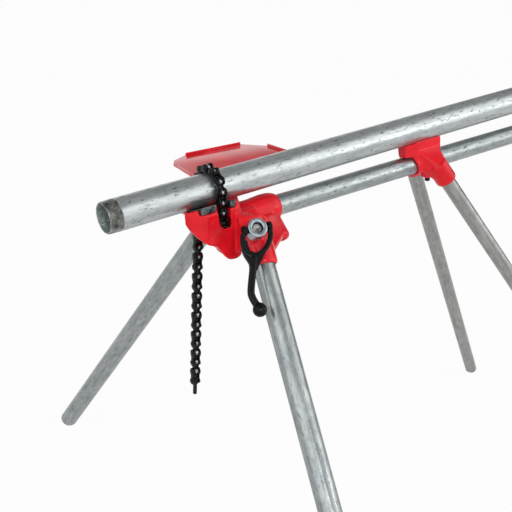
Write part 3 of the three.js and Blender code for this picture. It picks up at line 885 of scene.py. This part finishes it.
FRONT_LEG = Leg(outside=42.2, wall=3.56, x=274, side=59.4, lean=-13.4, splay=38.7, top=38,
                screw_reach=64, screw_swing=0.9)
REAR_LEG = Leg(outside=33.4, wall=3.38, x=783, side=41.4, lean=30.9, splay=14.9, top=17,
               screw_reach=34, screw_swing=1.3)
RAIL_ZINC = Galvanised(dark="828A8C", light="A5AAAB")
FRONT_ZINC = Galvanised(dark="7D8486", light="A2A6A6", fleck="565B5C", fleck_share=0.55, ripple=0.35)
REAR_ZINC = Galvanised(dark="848482", light="9C9A97", fleck="5E6160", fleck_share=0.45, ripple=0.3)


@dataclass
class Pipework:
    """The work pipe, the back rail and the four legs, in the rail's axes, in millimetres."""

    rail: RailFrame
    finishes: Finishes
    work_wall: float = 3.91
    work_length: float = 1240
    work_thread: float = 25
    work_seam: float = 48
    rail_wall: float = 3.56
    rail_front: float = 296
    rail_rear: float = 1140
    foot_flat: float = 2.5

    def build(self) -> None:
        """Makes and places the six pipes."""
        work = Pipe("work_pipe", WORK.outside, self.work_wall, self.work_length, threaded=self.work_thread,
                    seam=self.work_seam)
        work.build(self.rail.aim(Vector((0, 0, WORK.lift)), WORK.direction()), self.finishes)
        length = self.rail_rear - self.rail_front
        back = Pipe("back_rail", self.rail.outside, self.rail_wall, length, zinc=RAIL_ZINC)
        back.build(self.rail.aim(Vector((self.rail_front, 0, 0)), Vector((1, 0, 0))), self.finishes)
        for corner, leg, zinc in (("front", FRONT_LEG, FRONT_ZINC), ("rear", REAR_LEG, REAR_ZINC)):
            for side, sign in SIDES:
                self.leg(f"{corner}_{side}_leg", leg, sign, zinc)

    def leg(self, node: str, leg: Leg, sign: int, zinc: Galvanised) -> None:
        """Makes one leg, square cut, with its lowest edge flat on the floor.

        Args:
            node: The CAD node.
            leg: Its pair.
            sign: -1 for the near side, 1 for the far side.
            zinc: Its finish.
        """
        start, along = leg.line(sign)
        steep = along.dot(self.rail.down())
        drop = leg.outside / 2 * math.sqrt(1 - steep * steep) - self.foot_flat
        end = self.rail.floor_distance(start, along) - drop / steep
        pipe = Pipe(node, leg.outside, leg.wall, end - leg.top, zinc=zinc)
        pipe.build(self.rail.aim(start + along * leg.top, along), self.finishes)


# Castings and sheet


@dataclass
class Castings:
    """The two red castings and the rocker inside the head."""

    finishes: Finishes

    def build(self) -> None:
        """Gives the castings their soft corners and their finish."""
        enamel, iron = self.finishes.casting, self.finishes.iron
        for node, voxel, passes, finish, slot in (
                ("vise_head", 1.5, 14, enamel, Slot.ENAMEL),
                ("rear_support", 1.3, 16, enamel, Slot.ENAMEL),
                ("chain_rocker", 1.1, 4, iron, Slot.IRON)):
            install(dress(cast(node, voxel, passes), finish), node)


@dataclass
class ToolTray:
    """Sheet tray with three turned-up lips and its two bolts, in the rail's axes, in millimetres."""

    rail: RailFrame
    finishes: Finishes
    blank: float = 600
    sheet: float = 2.5
    base: float = 57.7
    lip: float = 5
    fold: float = 2.6
    outline: tuple[tuple[float, float], ...] = (
        (244, 51), (262, 190), (268, 216), (284, 240), (322, 256), (454, 240), (491, 184), (491, 51))
    lips: tuple[int, ...] = (0, 4, 6)
    bolts: tuple[tuple[str, float, float], ...] = (("tray_bolt_front", 272, 58), ("tray_bolt_rear", 293, 58))
    bolt_gap: float = 0.3
    bolt_radius: float = 5.9
    bolt_height: float = 3.4
    flange: float = 0.8

    def edges(self) -> list[tuple[Vector, Vector]]:
        """Returns the ends of each edge of the sheet, in metres."""
        corners = [Vector((x, y, self.base)) * MM for x, y in self.outline]
        return list(zip(corners, corners[1:] + corners[:1]))

    def build(self) -> None:
        """Cuts the sheet, turns up its lips, gives it its thickness and bolts it down."""
        edges = self.edges()
        middle = sum((a for a, _ in edges), Vector()) / len(edges)
        folds = [edges[k] for k in self.lips]

        def on_fold(a: Vector, b: Vector) -> bool:
            """Tells whether an edge lies on one of the folds."""
            return any(self.beside(a, fold) and self.beside(b, fold) for fold in folds)

        bpy.ops.object.select_all(action="DESELECT")
        bpy.ops.mesh.primitive_plane_add(size=self.blank * MM)
        obj = settled(named("tool_tray"), Matrix.Translation(middle))
        with editing(obj):
            for a, b in edges:
                outward = (b - a).cross(Vector((0, 0, 1)))
                if outward.dot(a - middle) < 0:
                    outward.negate()
                bpy.ops.mesh.select_all(action="SELECT")
                bpy.ops.mesh.bisect(plane_co=a, plane_no=outward, clear_outer=True)
            pick(Pick.EDGE, on_fold)
            rise = {"value": (0, 0, (self.sheet + self.lip) * MM)}
            bpy.ops.mesh.extrude_edges_move(TRANSFORM_OT_translate=rise)
            pick(Pick.EDGE, on_fold)
            bpy.ops.mesh.bevel(offset=self.fold * MM, segments=4, affect="EDGES")
            bpy.ops.mesh.select_all(action="SELECT")
            bpy.ops.mesh.normals_make_consistent(inside=True)
        if obj.data.polygons[0].normal.z < 0:
            obj.data.flip_normals()
        modified(obj, "SOLIDIFY", thickness=self.sheet * MM, offset=1, use_even_offset=True)
        smoothed(eased(obj, 0.7), 40)
        settled(obj, self.rail.matrix())
        install(dress(obj, self.finishes.sheet), "tool_tray")
        for node, x, y in self.bolts:
            self.bolt(node, Vector((x, y, self.base + self.sheet + self.bolt_gap)))

    @staticmethod
    def beside(at: Vector, edge: tuple[Vector, Vector]) -> bool:
        """Tells whether a point is on an edge."""
        a, b = edge
        return abs((at - a).length + (b - at).length - (b - a).length) < TOUCHING

    def bolt(self, node: str, seat: Vector) -> None:
        """Makes one hexagon bolt.

        Args:
            node: The CAD node.
            seat: Underside of its head.
        """
        lift = Matrix.Translation((0, 0, (self.flange + self.bolt_height / 2) * MM))
        head = prism("head", 6, self.bolt_radius, self.bolt_height, lift)
        with editing(head):
            pick(Pick.FACE, lambda _, normal: normal.z > 0.9)
            bpy.ops.mesh.inset(thickness=1 * MM)
            bpy.ops.transform.translate(value=(0, 0, 0.5 * MM))
        eased(head, 0.35)
        flange = turned("flange", [(0, 0), (6.1, 0), (6.2, 0.3), (6.0, 0.9), (0, 0.9)], 32)
        shank = turned("shank", [(0, -20), (2.4, -20), *thread(3, -19.4, -0.6, 1, 0.5), (0, -0.2)], 24)
        bolt = joined(node, [head, flange, shank])
        fitted(bolt, self.rail.aim(seat, Vector((0, 0, 1))), self.finishes.zinc, node)


@dataclass
class Jaws:
    """Two V jaws with toothed tops, and their cap screws, in the rail's axes, in millimetres."""

    rail: RailFrame
    finishes: Finishes
    spans: tuple[tuple[str, float, float], ...] = (("front_jaw", 170, 202), ("rear_jaw", 233, 245))
    slope: float = math.tan(math.radians(20))
    seat: float = 38.5
    sunk: float = 2
    thickness: float = 13.6
    half: float = 49
    clearance: float = 0.4
    corner: float = 0.6
    tooth: float = 3.2
    tooth_depth: float = 1.1
    plain_end: float = 3
    screw_side: float = 36
    screw_sunk: float = 0.6

    def top(self, front: float) -> float:
        """Returns the height of the bottom of a jaw's V."""
        drop = WORK.outside / 2 / math.cos(math.atan(self.slope))
        return WORK.height(front) - drop - self.clearance

    def build(self) -> None:
        """Makes both jaws and the four screws."""
        for node, front, rear in self.spans:
            self.jaw(node, front, rear)
            for side, sign in SIDES:
                self.screw(f"{node}_screw_{side}", (front + rear) / 2, self.top(front), sign)

    def jaw(self, node: str, front: float, rear: float) -> None:
        """Bends a bar into a V and files teeth across its top.

        Args:
            node: The CAD node.
            front: Where it starts along the rail.
            rear: Where it ends.
        """
        fall = self.half * self.slope
        low = self.seat + self.sunk - self.thickness + fall
        high = self.top(front) + fall
        middle = ((front + rear) / 2, 0, (low + high) / 2)
        obj = block(node, (rear - front, 2 * self.half, high - low), middle)
        with editing(obj):
            bpy.ops.mesh.select_all(action="SELECT")
            bpy.ops.mesh.bevel(offset=self.corner * MM, segments=2, affect="EDGES")
            bpy.ops.mesh.select_all(action="SELECT")
            bpy.ops.mesh.bisect(plane_co=(0, 0, 0), plane_no=(0, 1, 0))
            bpy.ops.transform.translate(value=(0, 0, -fall * MM))
            count = int((self.half - self.plain_end) / (self.tooth / 2))
            for step in range(-count, count + 1):
                at = step * self.tooth / 2 * MM
                if step:
                    bpy.ops.mesh.select_all(action="SELECT")
                    bpy.ops.mesh.bisect(plane_co=(0, at, 0), plane_no=(0, 1, 0))
                if step % 2:
                    under = (high - fall - 0.3) * MM + abs(at) * self.slope
                    pick(Pick.VERTEX, lambda p, _: abs(p.y - at) < TOUCHING and p.z > under)
                    bpy.ops.transform.translate(value=(0, 0, -self.tooth_depth * MM))
        settled(obj, self.rail.matrix())
        install(dress(smoothed(obj, 25), self.finishes.jaw_steel), node)

    def screw(self, node: str, x: float, top: float, sign: int) -> None:
        """Makes one cap screw with a socket in its head.

        Args:
            node: The CAD node.
            x: Its place along the rail.
            top: Height of the V's bottom.
            sign: -1 for the near side, 1 for the far side.
        """
        lean = math.atan(self.slope)
        inward = Vector((0, sign * math.sin(lean), -math.cos(lean)))
        mouth = Vector((x, sign * self.screw_side, top + self.screw_side * self.slope))
        profile = [(0, 2.8), (2, 2.4), (2.1, 0.2), (2.4, 0), (4.1, 0), (4.6, 0.5), (4.6, 4.9), (3, 5),
                   *thread(3, 6, 18.5, 1, 0.5), (2, 19), (0, 19)]
        place = self.rail.aim(mouth + inward * self.screw_sunk, inward)
        fitted(turned(node, profile, 24), place, self.finishes.black_steel, node)


# Screws


@dataclass
class SetScrews:
    """Screws that hold the pipes in the castings, in the rail's axes, in millimetres."""

    rail: RailFrame
    finishes: Finishes
    radius: float = 5
    tip: float = 3.6
    pitch: float = 1.6
    depth: float = 0.8
    square: float = 9
    gap: float = 0.5
    leg_length: float = 15
    rear_rail_x: float = 797
    rear_rail_length: float = 18.5
    head_rail_x: float = 350
    head_rail_length: float = 40
    head_rail_tilt: float = math.radians(46)

    def build(self) -> None:
        """Makes the four leg screws and the two rail screws."""
        for corner, leg in (("front", FRONT_LEG), ("rear", REAR_LEG)):
            for side, sign in SIDES:
                seat, outward = self.leg_seat(leg, sign)
                self.square_head(f"{corner}_{side}_leg_set_screw", seat, outward, self.leg_length)
        skin = self.rail.outside / 2 + self.gap
        below = Vector((0, 0, -1))
        seat = Vector((self.rear_rail_x, 0, 0)) + below * skin
        self.square_head("rear_rail_set_screw", seat, below, self.rear_rail_length)
        outward = Vector((0, -math.sin(self.head_rail_tilt), -math.cos(self.head_rail_tilt)))
        seat = Vector((self.head_rail_x, 0, 0)) + outward * skin
        self.headless("head_rail_set_screw", seat, outward, self.head_rail_length)

    def leg_seat(self, leg: Leg, sign: int) -> tuple[Vector, Vector]:
        """Finds where a leg's screw meets the pipe.

        Args:
            leg: The leg's pair.
            sign: -1 for the near side, 1 for the far side.

        Returns:
            Its tip and its direction outwards.
        """
        start, along = leg.line(sign)
        ahead = Vector((1, 0, 0))
        outward = along.cross(ahead).normalized()
        if outward.z > 0:
            outward.negate()
        rearward = (ahead - along * ahead.dot(along)).normalized()
        outward = (outward + rearward * leg.screw_swing).normalized()
        return start + along * leg.screw_reach + outward * (leg.outside / 2 + self.gap), outward

    def square_head(self, node: str, seat: Vector, outward: Vector, length: float) -> None:
        """Makes a screw with a square head.

        Args:
            node: The CAD node.
            seat: Its tip.
            outward: Its direction.
            length: Length under the head.
        """
        head = block("head", (self.square, self.square, self.square), (0, 0, length + self.square / 2))
        top = (length + self.square - 0.1) * MM
        side = (self.square / 2 - 0.1) * MM
        with editing(head):
            pick(Pick.FACE, lambda _, normal: normal.z > 0.9)
            bpy.ops.mesh.inset(thickness=1.3 * MM)
            pick(Pick.VERTEX, lambda at, _: at.z > top and max(abs(at.x), abs(at.y)) > side)
            bpy.ops.transform.translate(value=(0, 0, -0.7 * MM))
        eased(head, 0.6)
        turns = thread(self.radius, 0.8, length - 0.5, self.pitch, self.depth)
        root = self.radius - self.depth
        profile = [(0, 0), (self.tip, 0), *turns, (root, length + 0.3), (0, length + 0.3)]
        screw = joined(node, [head, turned("shank", profile, 32)])
        fitted(screw, self.rail.aim(seat, outward), self.finishes.black_steel, node)

    def headless(self, node: str, seat: Vector, outward: Vector, length: float) -> None:
        """Makes a screw whose drive is sunk in its end.

        Args:
            node: The CAD node.
            seat: Its tip.
            outward: Its direction.
            length: Its length.
        """
        turns = thread(self.radius, 0.8, length - 0.8, self.pitch, self.depth)
        drive = [(3.4, length), (2.9, length - 0.4), (2.6, length - 4.5), (0, length - 5)]
        screw = turned(node, [(0, 0), (self.tip, 0), *turns, *drive], 32)
        fitted(screw, self.rail.aim(seat, outward), self.finishes.black_steel, node)


@dataclass
class ClampScrew:
    """The clamp screw, its sleeve, pad and pins, and the handle, in the rail's axes, in millimetres."""

    rail: RailFrame
    finishes: Finishes
    end: tuple[float, float, float] = (246.1, -115.3, 21.3)
    azimuth: float = math.radians(15)
    elevation: float = math.radians(38.5)
    sleeve_length: float = 26
    screw_sunk: float = 7
    screw_length: float = 79
    pad_sunk: float = 86.4
    pin_sunk: float = 9
    pin_side: float = 10.4

    def build(self) -> None:
        """Makes the screw group along its axis."""
        end = Vector(self.end)
        level = math.cos(self.elevation)
        ahead = Vector((math.sin(self.azimuth), math.cos(self.azimuth), 0))
        out = Vector((0, 0, math.sin(self.elevation))) - ahead * level
        across = Vector((math.cos(self.azimuth), -math.sin(self.azimuth), 0))
        sleeve = [(10.3, 0), (17.6, 0), (18.5, 0.9), (18.5, 23.9), (18.1, 24.9), (17, 25.8),
                  (16.4, self.sleeve_length), (12.2, self.sleeve_length), (11.2, 25.5), (10.3, 24.4),
                  (10.3, 0)]
        self.turn("screw_sleeve", sleeve, end - out * self.sleeve_length, out, self.finishes.zinc)
        turns = thread(9.8, 0.6, self.screw_length - 1.4, 3.2, 1.2)
        screw = [(0, 1.4), (2.2, 0), (8.2, 0), *turns, (7.6, self.screw_length), (0, self.screw_length)]
        self.turn("clamp_screw", screw, end - out * self.screw_sunk, -out, self.finishes.bare)
        pad = [(0, 0), (8.6, 0), (9.5, 0.9), (9.5, 5.1), (8.6, 6), (0, 6)]
        self.turn("screw_pad", pad, end - out * self.pad_sunk, -out, self.finishes.zinc)
        pin = [(0, 0), (4.5, 0), (4.5, 18.4), (3.7, 19.2), (2.2, 19.6), (0, 19.6)]
        for node, way in (("yoke_pin_front", -across), ("yoke_pin_rear", across)):
            foot = end - out * self.pin_sunk + way * self.pin_side
            self.turn(node, pin, foot, way, self.finishes.black_steel, Slot.STEEL)
        handle = cast("yoke_handle", 0.9, 9)
        install(dress(handle, self.finishes.iron), "yoke_handle")

    def turn(self, node: str, profile: Profile, at: Vector, along: Vector, finish: bpy.types.Material,
             slot: Slot = Slot.ZINC) -> None:
        """Makes one turned piece of the group.

        Args:
            node: The CAD node.
            profile: Its profile.
            at: Its foot.
            along: Its direction.
            finish: Its finish.
            slot: The record's slot; not used.
        """
        fitted(turned(node, profile), self.rail.aim(at, along), finish, node)


# Chain


@dataclass
class Chain:
    """Riveted roller chain from the rocker over the pipe, to the hook and down, in the rail's axes."""

    rail: RailFrame
    finishes: Finishes
    x: float = CHAIN_X
    near_pins: int = 3
    arch_pins: int = 6
    far_pins: int = 3
    tail_pins: int = 18
    near_drift: float = 1.5
    far_leave: float = 5.34
    gap: float = 0.4
    pitch: float = 21
    height: float = 16
    waist: float = 11
    inner_width: float = 10.8
    plate_gap: float = 11.6
    plate: float = 2.6
    pin: float = 3.7
    pin_length: float = 20
    roller: float = 6
    stay: float = 2.1
    core_width: float = 0.62
    core_short: float = 1.9
    blade_back: float = 7
    blade_reach: float = 32
    blade_width: float = 10
    blade_shoulder: tuple[float, float] = (6, 10)
    blade_taper: tuple[float, float] = (0.7, 0.62)

    def pins(self) -> list[Vector]:
        """Lays the pins from the rocker over the pipe, to the hook and down the tail.

        Returns:
            Their places.
        """
        centre = WORK.height(self.x)
        radius = (WORK.outside + self.height) / 2 + self.gap
        step = 2 * math.asin(self.pitch / 2 / radius)
        turns = [math.pi - k * step for k in range(self.arch_pins)]
        arch = [Vector((self.x, radius * math.cos(t), centre + radius * math.sin(t))) for t in turns]
        near_step = Vector((0, self.near_drift, -math.sqrt(self.pitch ** 2 - self.near_drift ** 2)))
        near = [arch[0] + near_step * (self.near_pins - k) for k in range(self.near_pins)]
        leave = math.pi - self.far_leave * step
        far_step = Vector((0, math.sin(leave), -math.cos(leave))) * self.pitch
        far = [arch[-1] + far_step * (k + 1) for k in range(self.far_pins)]
        tail = [far[-1] + self.rail.down() * (self.pitch * (k + 1)) for k in range(self.tail_pins)]
        return [*near, *arch, *far, *tail]

    def link_plate(self) -> bpy.types.Object:
        """Draws out a disc into one plate with a drawn-in waist.

        Returns:
            The plate, along +X from pin to pin.
        """
        sides = 32
        obj = prism("plate", sides, self.height / 2, self.plate, Matrix.Rotation(math.pi / sides, 4, "Z"))
        rim = self.plate / 2 * MM
        middle = (0.5, self.waist / self.height)
        with editing(obj):
            pick(Pick.VERTEX, lambda at, _: at.x > 0)
            bpy.ops.transform.translate(value=(self.pitch * MM, 0, 0))
            for share, narrow in ((0.2, 0.9), (0.35, 0.75), middle, (0.65, 0.75), (0.8, 0.9)):
                at = share * self.pitch * MM
                bpy.ops.mesh.select_all(action="SELECT")
                bpy.ops.mesh.bisect(plane_co=(at, 0, 0), plane_no=(1, 0, 0))
                bpy.ops.transform.resize(value=(1, narrow, 1), center_override=(at, 0, 0))
            pick(Pick.EDGE, lambda a, b: abs(a.z - b.z) < TOUCHING and abs(abs(a.z) - rim) < TOUCHING
                 and (abs(a.x - b.x) > 10 * TOUCHING or abs(a.y - b.y) < 2 * MM))
            bpy.ops.mesh.bevel(offset=0.5 * MM, segments=2, affect="EDGES")
        return obj

    def paired_plates(self, side: float) -> list[bpy.types.Object]:
        """Makes two plates that face each other.

        Args:
            side: From the middle of the chain to the middle of a plate.

        Returns:
            The plates.
        """
        plate = self.link_plate()
        plates = [copied(plate, Matrix.Translation((0, 0, sign * side * MM))) for _, sign in SIDES]
        bpy.data.objects.remove(plate)
        return plates

    def at_pins(self, shape: bpy.types.Object) -> list[bpy.types.Object]:
        """Copies a turned shape to both pins of a link.

        Args:
            shape: The shape, which is used up.

        Returns:
            The copies.
        """
        copies = [copied(shape, Matrix.Translation((k * self.pitch * MM, 0, 0))) for k in (0, 1)]
        bpy.data.objects.remove(shape)
        return copies

    def outer_link(self) -> bpy.types.Object:
        """Rivets two plates on two pins and a stay between them.

        Returns:
            The link.
        """
        plates = self.paired_plates((self.plate_gap + self.plate) / 2)
        end = self.pin_length / 2
        profile = [(0, -end), (1.8, -end), (2.9, -end + 0.35), (self.pin, -end + 1.1), (self.pin, end - 1.1),
                   (2.9, end - 0.35), (1.8, end), (0, end)]
        pins = self.at_pins(turned("pin", profile, 20))
        half = self.plate_gap / 2 + 0.3
        stay = turned("stay", [(0, -half), (self.stay, -half), (self.stay, half), (0, half)], 16)
        settled(stay, Matrix.Translation((self.pitch / 2 * MM, 0, 0)))
        link = smoothed(joined("outer_link", [*plates, *pins, stay]))
        return dress(link, self.finishes.black_steel, self.finishes.roller)

    def inner_link(self) -> bpy.types.Object:
        """Sets two plates and a narrow core on two bright rollers.

        Returns:
            The link.
        """
        black, bright = self.finishes.black_steel, self.finishes.roller
        plates = self.paired_plates((self.inner_width - self.plate) / 2)
        thick = self.inner_width / self.plate - self.core_short
        core = settled(self.link_plate(), Matrix.Diagonal((1, self.core_width, thick, 1)))
        end = self.inner_width / 2 - self.plate + 0.2
        profile = [(0, -end), (self.roller - 0.5, -end), (self.roller, -end + 0.5), (self.roller, end - 0.5),
                   (self.roller - 0.5, end), (0, end)]
        roller = dress(turned("roller", profile, 28), black, bright)
        paint(roller, 1, lambda at: math.hypot(at.x, at.y) > (self.roller - 0.6) * MM)
        rollers = self.at_pins(roller)
        flats = [dress(plate, black, bright) for plate in (*plates, core)]
        return smoothed(joined("inner_link", [*flats, *rollers]))

    def tongue(self) -> bpy.types.Object:
        """Draws the flat blade that ends the tail.

        Returns:
            The blade, along +X from its pin.
        """
        length = self.blade_back + self.blade_reach
        middle = ((self.blade_reach - self.blade_back) / 2, 0, 0)
        obj = block("tongue", (length, self.blade_width, self.inner_width), middle)
        start, end = self.blade_shoulder
        with editing(obj):
            for at in (start, end):
                bpy.ops.mesh.select_all(action="SELECT")
                bpy.ops.mesh.bisect(plane_co=(at * MM, 0, 0), plane_no=(1, 0, 0))
            pick(Pick.VERTEX, lambda at, _: at.x > (end - 1) * MM)
            bpy.ops.transform.resize(value=(1, *self.blade_taper), center_override=(0, 0, 0))
        return dress(smoothed(eased(obj, 1.2, 3)), self.finishes.black_steel, self.finishes.roller)

    def link_place(self, start: Vector, end: Vector) -> Matrix:
        """Places a link that runs along +X from pin to pin.

        Args:
            start: Its first pin.
            end: Its second pin.

        Returns:
            Its place in the row's axes.
        """
        along = (end - start).normalized()
        across = (Vector((1, 0, 0)) - along * along.x).normalized()
        turn = Matrix((along, across.cross(along), across)).transposed().to_4x4()
        return self.rail.matrix() @ Matrix.Translation(start * MM) @ turn

    def build(self) -> None:
        """Lays the links along the pins, in pairs, and ends the tail with its tongue."""
        pins = self.pins()
        outer, inner, blade = self.outer_link(), self.inner_link(), self.tongue()
        beyond = pins[-1] + self.rail.down() * self.pitch
        runs = [(f"chain_link_{k // 2 + 1:02d}", inner, pins[k:k + 3]) for k in range(0, len(pins) - 2, 2)]
        for node, second, (first, middle, last) in (*runs, ("chain_tip", blade, (*pins[-2:], beyond))):
            lead = copied(outer, self.link_place(first, middle))
            follow = copied(second, self.link_place(middle, last))
            install(joined(node, [lead, follow]), node)
        for shape in (outer, inner, blade):
            bpy.data.objects.remove(shape)


# Studio


@dataclass(frozen=True)
class SoftBox:
    """A bright or dark stretch of the room's wall, in degrees; heading 0 is the near side, 90 the rear."""

    heading: float
    half_width: float
    top: float
    level: float
    edge: float = 6

    def glow(self, mix: Recipe, heading: bpy.types.Node, height: bpy.types.Node) -> bpy.types.Node:
        """Draws the stretch with soft edges.

        Args:
            mix: The world's recipe.
            heading: Heading of a ray.
            height: Height of a ray above the horizon.

        Returns:
            The light that it adds.
        """
        turn = mix.add("Math", {0: heading, 1: math.radians(self.heading)}, operation="SUBTRACT")
        near = mix.add("Math", {0: turn}, operation="COSINE")
        off = mix.add("Math", {0: near}, operation="ARCCOSINE")
        wide = mix.add("MapRange", {"Value": off, "To Min": 1, "To Max": 0,
                                    "From Min": math.radians(self.half_width - self.edge),
                                    "From Max": math.radians(self.half_width + self.edge)})
        high = mix.add("MapRange", {"Value": height, "To Min": self.level, "To Max": 0,
                                    "From Min": math.radians(self.top - self.edge),
                                    "From Max": math.radians(self.top + self.edge)})
        return mix.add("Math", {0: wide, 1: high}, operation="MULTIPLY")


@dataclass(frozen=True)
class Lamp:
    """A soft lamp that faces the vise head, in metres and watts."""

    name: str
    at: tuple[float, float, float]
    size: tuple[float, float]
    power: float
    target: tuple[float, float, float] = (-0.2, 0, 0.7)

    def hang(self) -> None:
        """Hangs the lamp in the studio."""
        bpy.ops.object.light_add(type="AREA", location=self.at)
        lamp = bpy.context.object
        lamp.name = self.name
        lamp.data.shape = "RECTANGLE"
        lamp.data.size, lamp.data.size_y = self.size
        lamp.data.energy = self.power
        aim = Vector(self.target) - Vector(self.at)
        lamp.rotation_euler = aim.to_track_quat("-Z", "Y").to_euler()


@dataclass
class Studio:
    """Pale floor, soft light and the camera at the photograph's angle."""

    rail: RailFrame
    ceiling: float = 0.38
    floor_size: float = 400
    floor_drop: float = 0.0004
    floor_white: float = 0.94
    mirrored: float = 0.5
    boxes: tuple[SoftBox, ...] = (
        SoftBox(46, 33, 48, 1.35),
        SoftBox(-74, 33, 48, 1.45),
        SoftBox(-12, 27, 48, 0.2),
        SoftBox(106, 22, 30, -0.35),
        SoftBox(180, 42, 24, 0.6),
    )
    lamps: tuple[Lamp, ...] = (
        Lamp("key soft box", (-1.9, -4.2, 2.4), (0.6, 0.6), 54),
        Lamp("side soft box", (3.2, -3.6, 2.2), (0.6, 0.8), 10),
    )
    yaw: float = math.radians(34.242)
    pitch: float = math.radians(23.313)
    roll: float = math.radians(-3.316)
    focal: float = 873.994
    picture: float = 512
    sensor: float = 36
    eye: tuple[float, float, float] = (-588.109, -1328.973, 599.135)

    def camera(self) -> None:
        """Sets the camera by its turn and place in the rail's axes."""
        level = math.cos(self.pitch)
        ahead = Vector((math.sin(self.yaw) * level, math.cos(self.yaw) * level, -math.sin(self.pitch)))
        right = Vector((math.cos(self.yaw), -math.sin(self.yaw), 0))
        above = right.cross(ahead)
        tilted = right * math.cos(self.roll) + above * math.sin(self.roll)
        upright = above * math.cos(self.roll) - right * math.sin(self.roll)
        turn = Matrix((tilted, upright, -ahead)).transposed().to_4x4()
        bpy.ops.object.camera_add()
        camera = bpy.context.object
        camera.matrix_world = self.rail.matrix() @ Matrix.Translation(Vector(self.eye) * MM) @ turn
        camera.data.sensor_fit = "HORIZONTAL"
        camera.data.sensor_width = self.sensor
        camera.data.lens = self.sensor * self.focal / self.picture
        camera.data.clip_start = 0.05
        bpy.context.scene.camera = camera

    def floor(self) -> None:
        """Lays the floor: white paper to the eye, with a faint shadow of the stand."""
        bpy.ops.object.select_all(action="DESELECT")
        bpy.ops.mesh.primitive_plane_add(size=self.floor_size, location=(0, 0, -self.floor_drop))
        obj = named("floor")
        mix = Recipe.named("white studio floor")
        rays = mix.add("LightPath").outputs
        mirrored = mix.add("Math", {0: rays["Is Glossy Ray"], 1: self.mirrored}, operation="MULTIPLY")
        seen = mix.add("Math", {0: rays["Is Camera Ray"], 1: mirrored}, operation="MAXIMUM")
        through = mix.add("Math", {0: seen, 1: rays["Is Transmission Ray"]}, operation="MAXIMUM")
        share = mix.add("Math", {0: through, 1: self.floor_white}, operation="MULTIPLY")
        grain = mix.add("TexNoise", {"Vector": mix.place(), "Scale": per(60), "Detail": 3})
        tone = mix.add("MapRange", {"Value": grain, "To Min": 0.86, "To Max": 0.9})
        paper = mix.add("BsdfDiffuse", {"Color": tone})
        white = mix.add("Emission", {"Color": (1, 1, 1, 1), "Strength": 1})
        mix.add("OutputMaterial", {"Surface": mix.add("MixShader", {0: share, 1: paper, 2: white})})
        dress(obj, mix.owner)

    def room(self) -> None:
        """Sets the room's light: a grey ceiling, large soft boxes around the stand, white to the eye."""
        world = bpy.data.worlds.new("studio room")
        bpy.context.scene.world = world
        mix = Recipe(world)
        way = mix.add("SeparateXYZ", {0: mix.add("TexCoord").outputs["Generated"]}).outputs
        nearward = mix.add("Math", {0: way["Y"], 1: -1.0}, operation="MULTIPLY")
        heading = mix.add("Math", {0: way["X"], 1: nearward}, operation="ARCTAN2")
        height = mix.add("Math", {0: way["Z"]}, operation="ARCSINE")
        level: Any = self.ceiling
        for box in self.boxes:
            level = mix.add("Math", {0: level, 1: box.glow(mix, heading, height)}, operation="ADD")
        light = mix.add("Background", {"Color": level, "Strength": 1.0})
        white = mix.add("Background", {"Color": (1, 1, 1, 1), "Strength": 1.0})
        seen = mix.add("LightPath").outputs["Is Camera Ray"]
        mix.add("OutputWorld", {"Surface": mix.add("MixShader", {0: seen, 1: light, 2: white})})

    def build(self) -> None:
        """Sets up the studio."""
        bpy.context.scene.view_settings.view_transform = "Standard"
        self.camera()
        self.floor()
        self.room()
        for lamp in self.lamps:
            lamp.hang()
        LOG.info("studio is set")


def main() -> None:
    """Builds the sub-assemblies in order."""
    logging.basicConfig(level=logging.INFO, format="%(name)s: %(message)s")
    rail = RailFrame.from_joints(frame["joints"])
    Studio(rail).build()
    finishes = Finishes.mixed()
    Pipework(rail, finishes).build()
    Castings(finishes).build()
    ToolTray(rail, finishes).build()
    Jaws(rail, finishes).build()
    SetScrews(rail, finishes).build()
    ClampScrew(rail, finishes).build()
    Chain(rail, finishes).build()
    LOG.info("boxes are written")


if __name__ == "__main__":
    main()
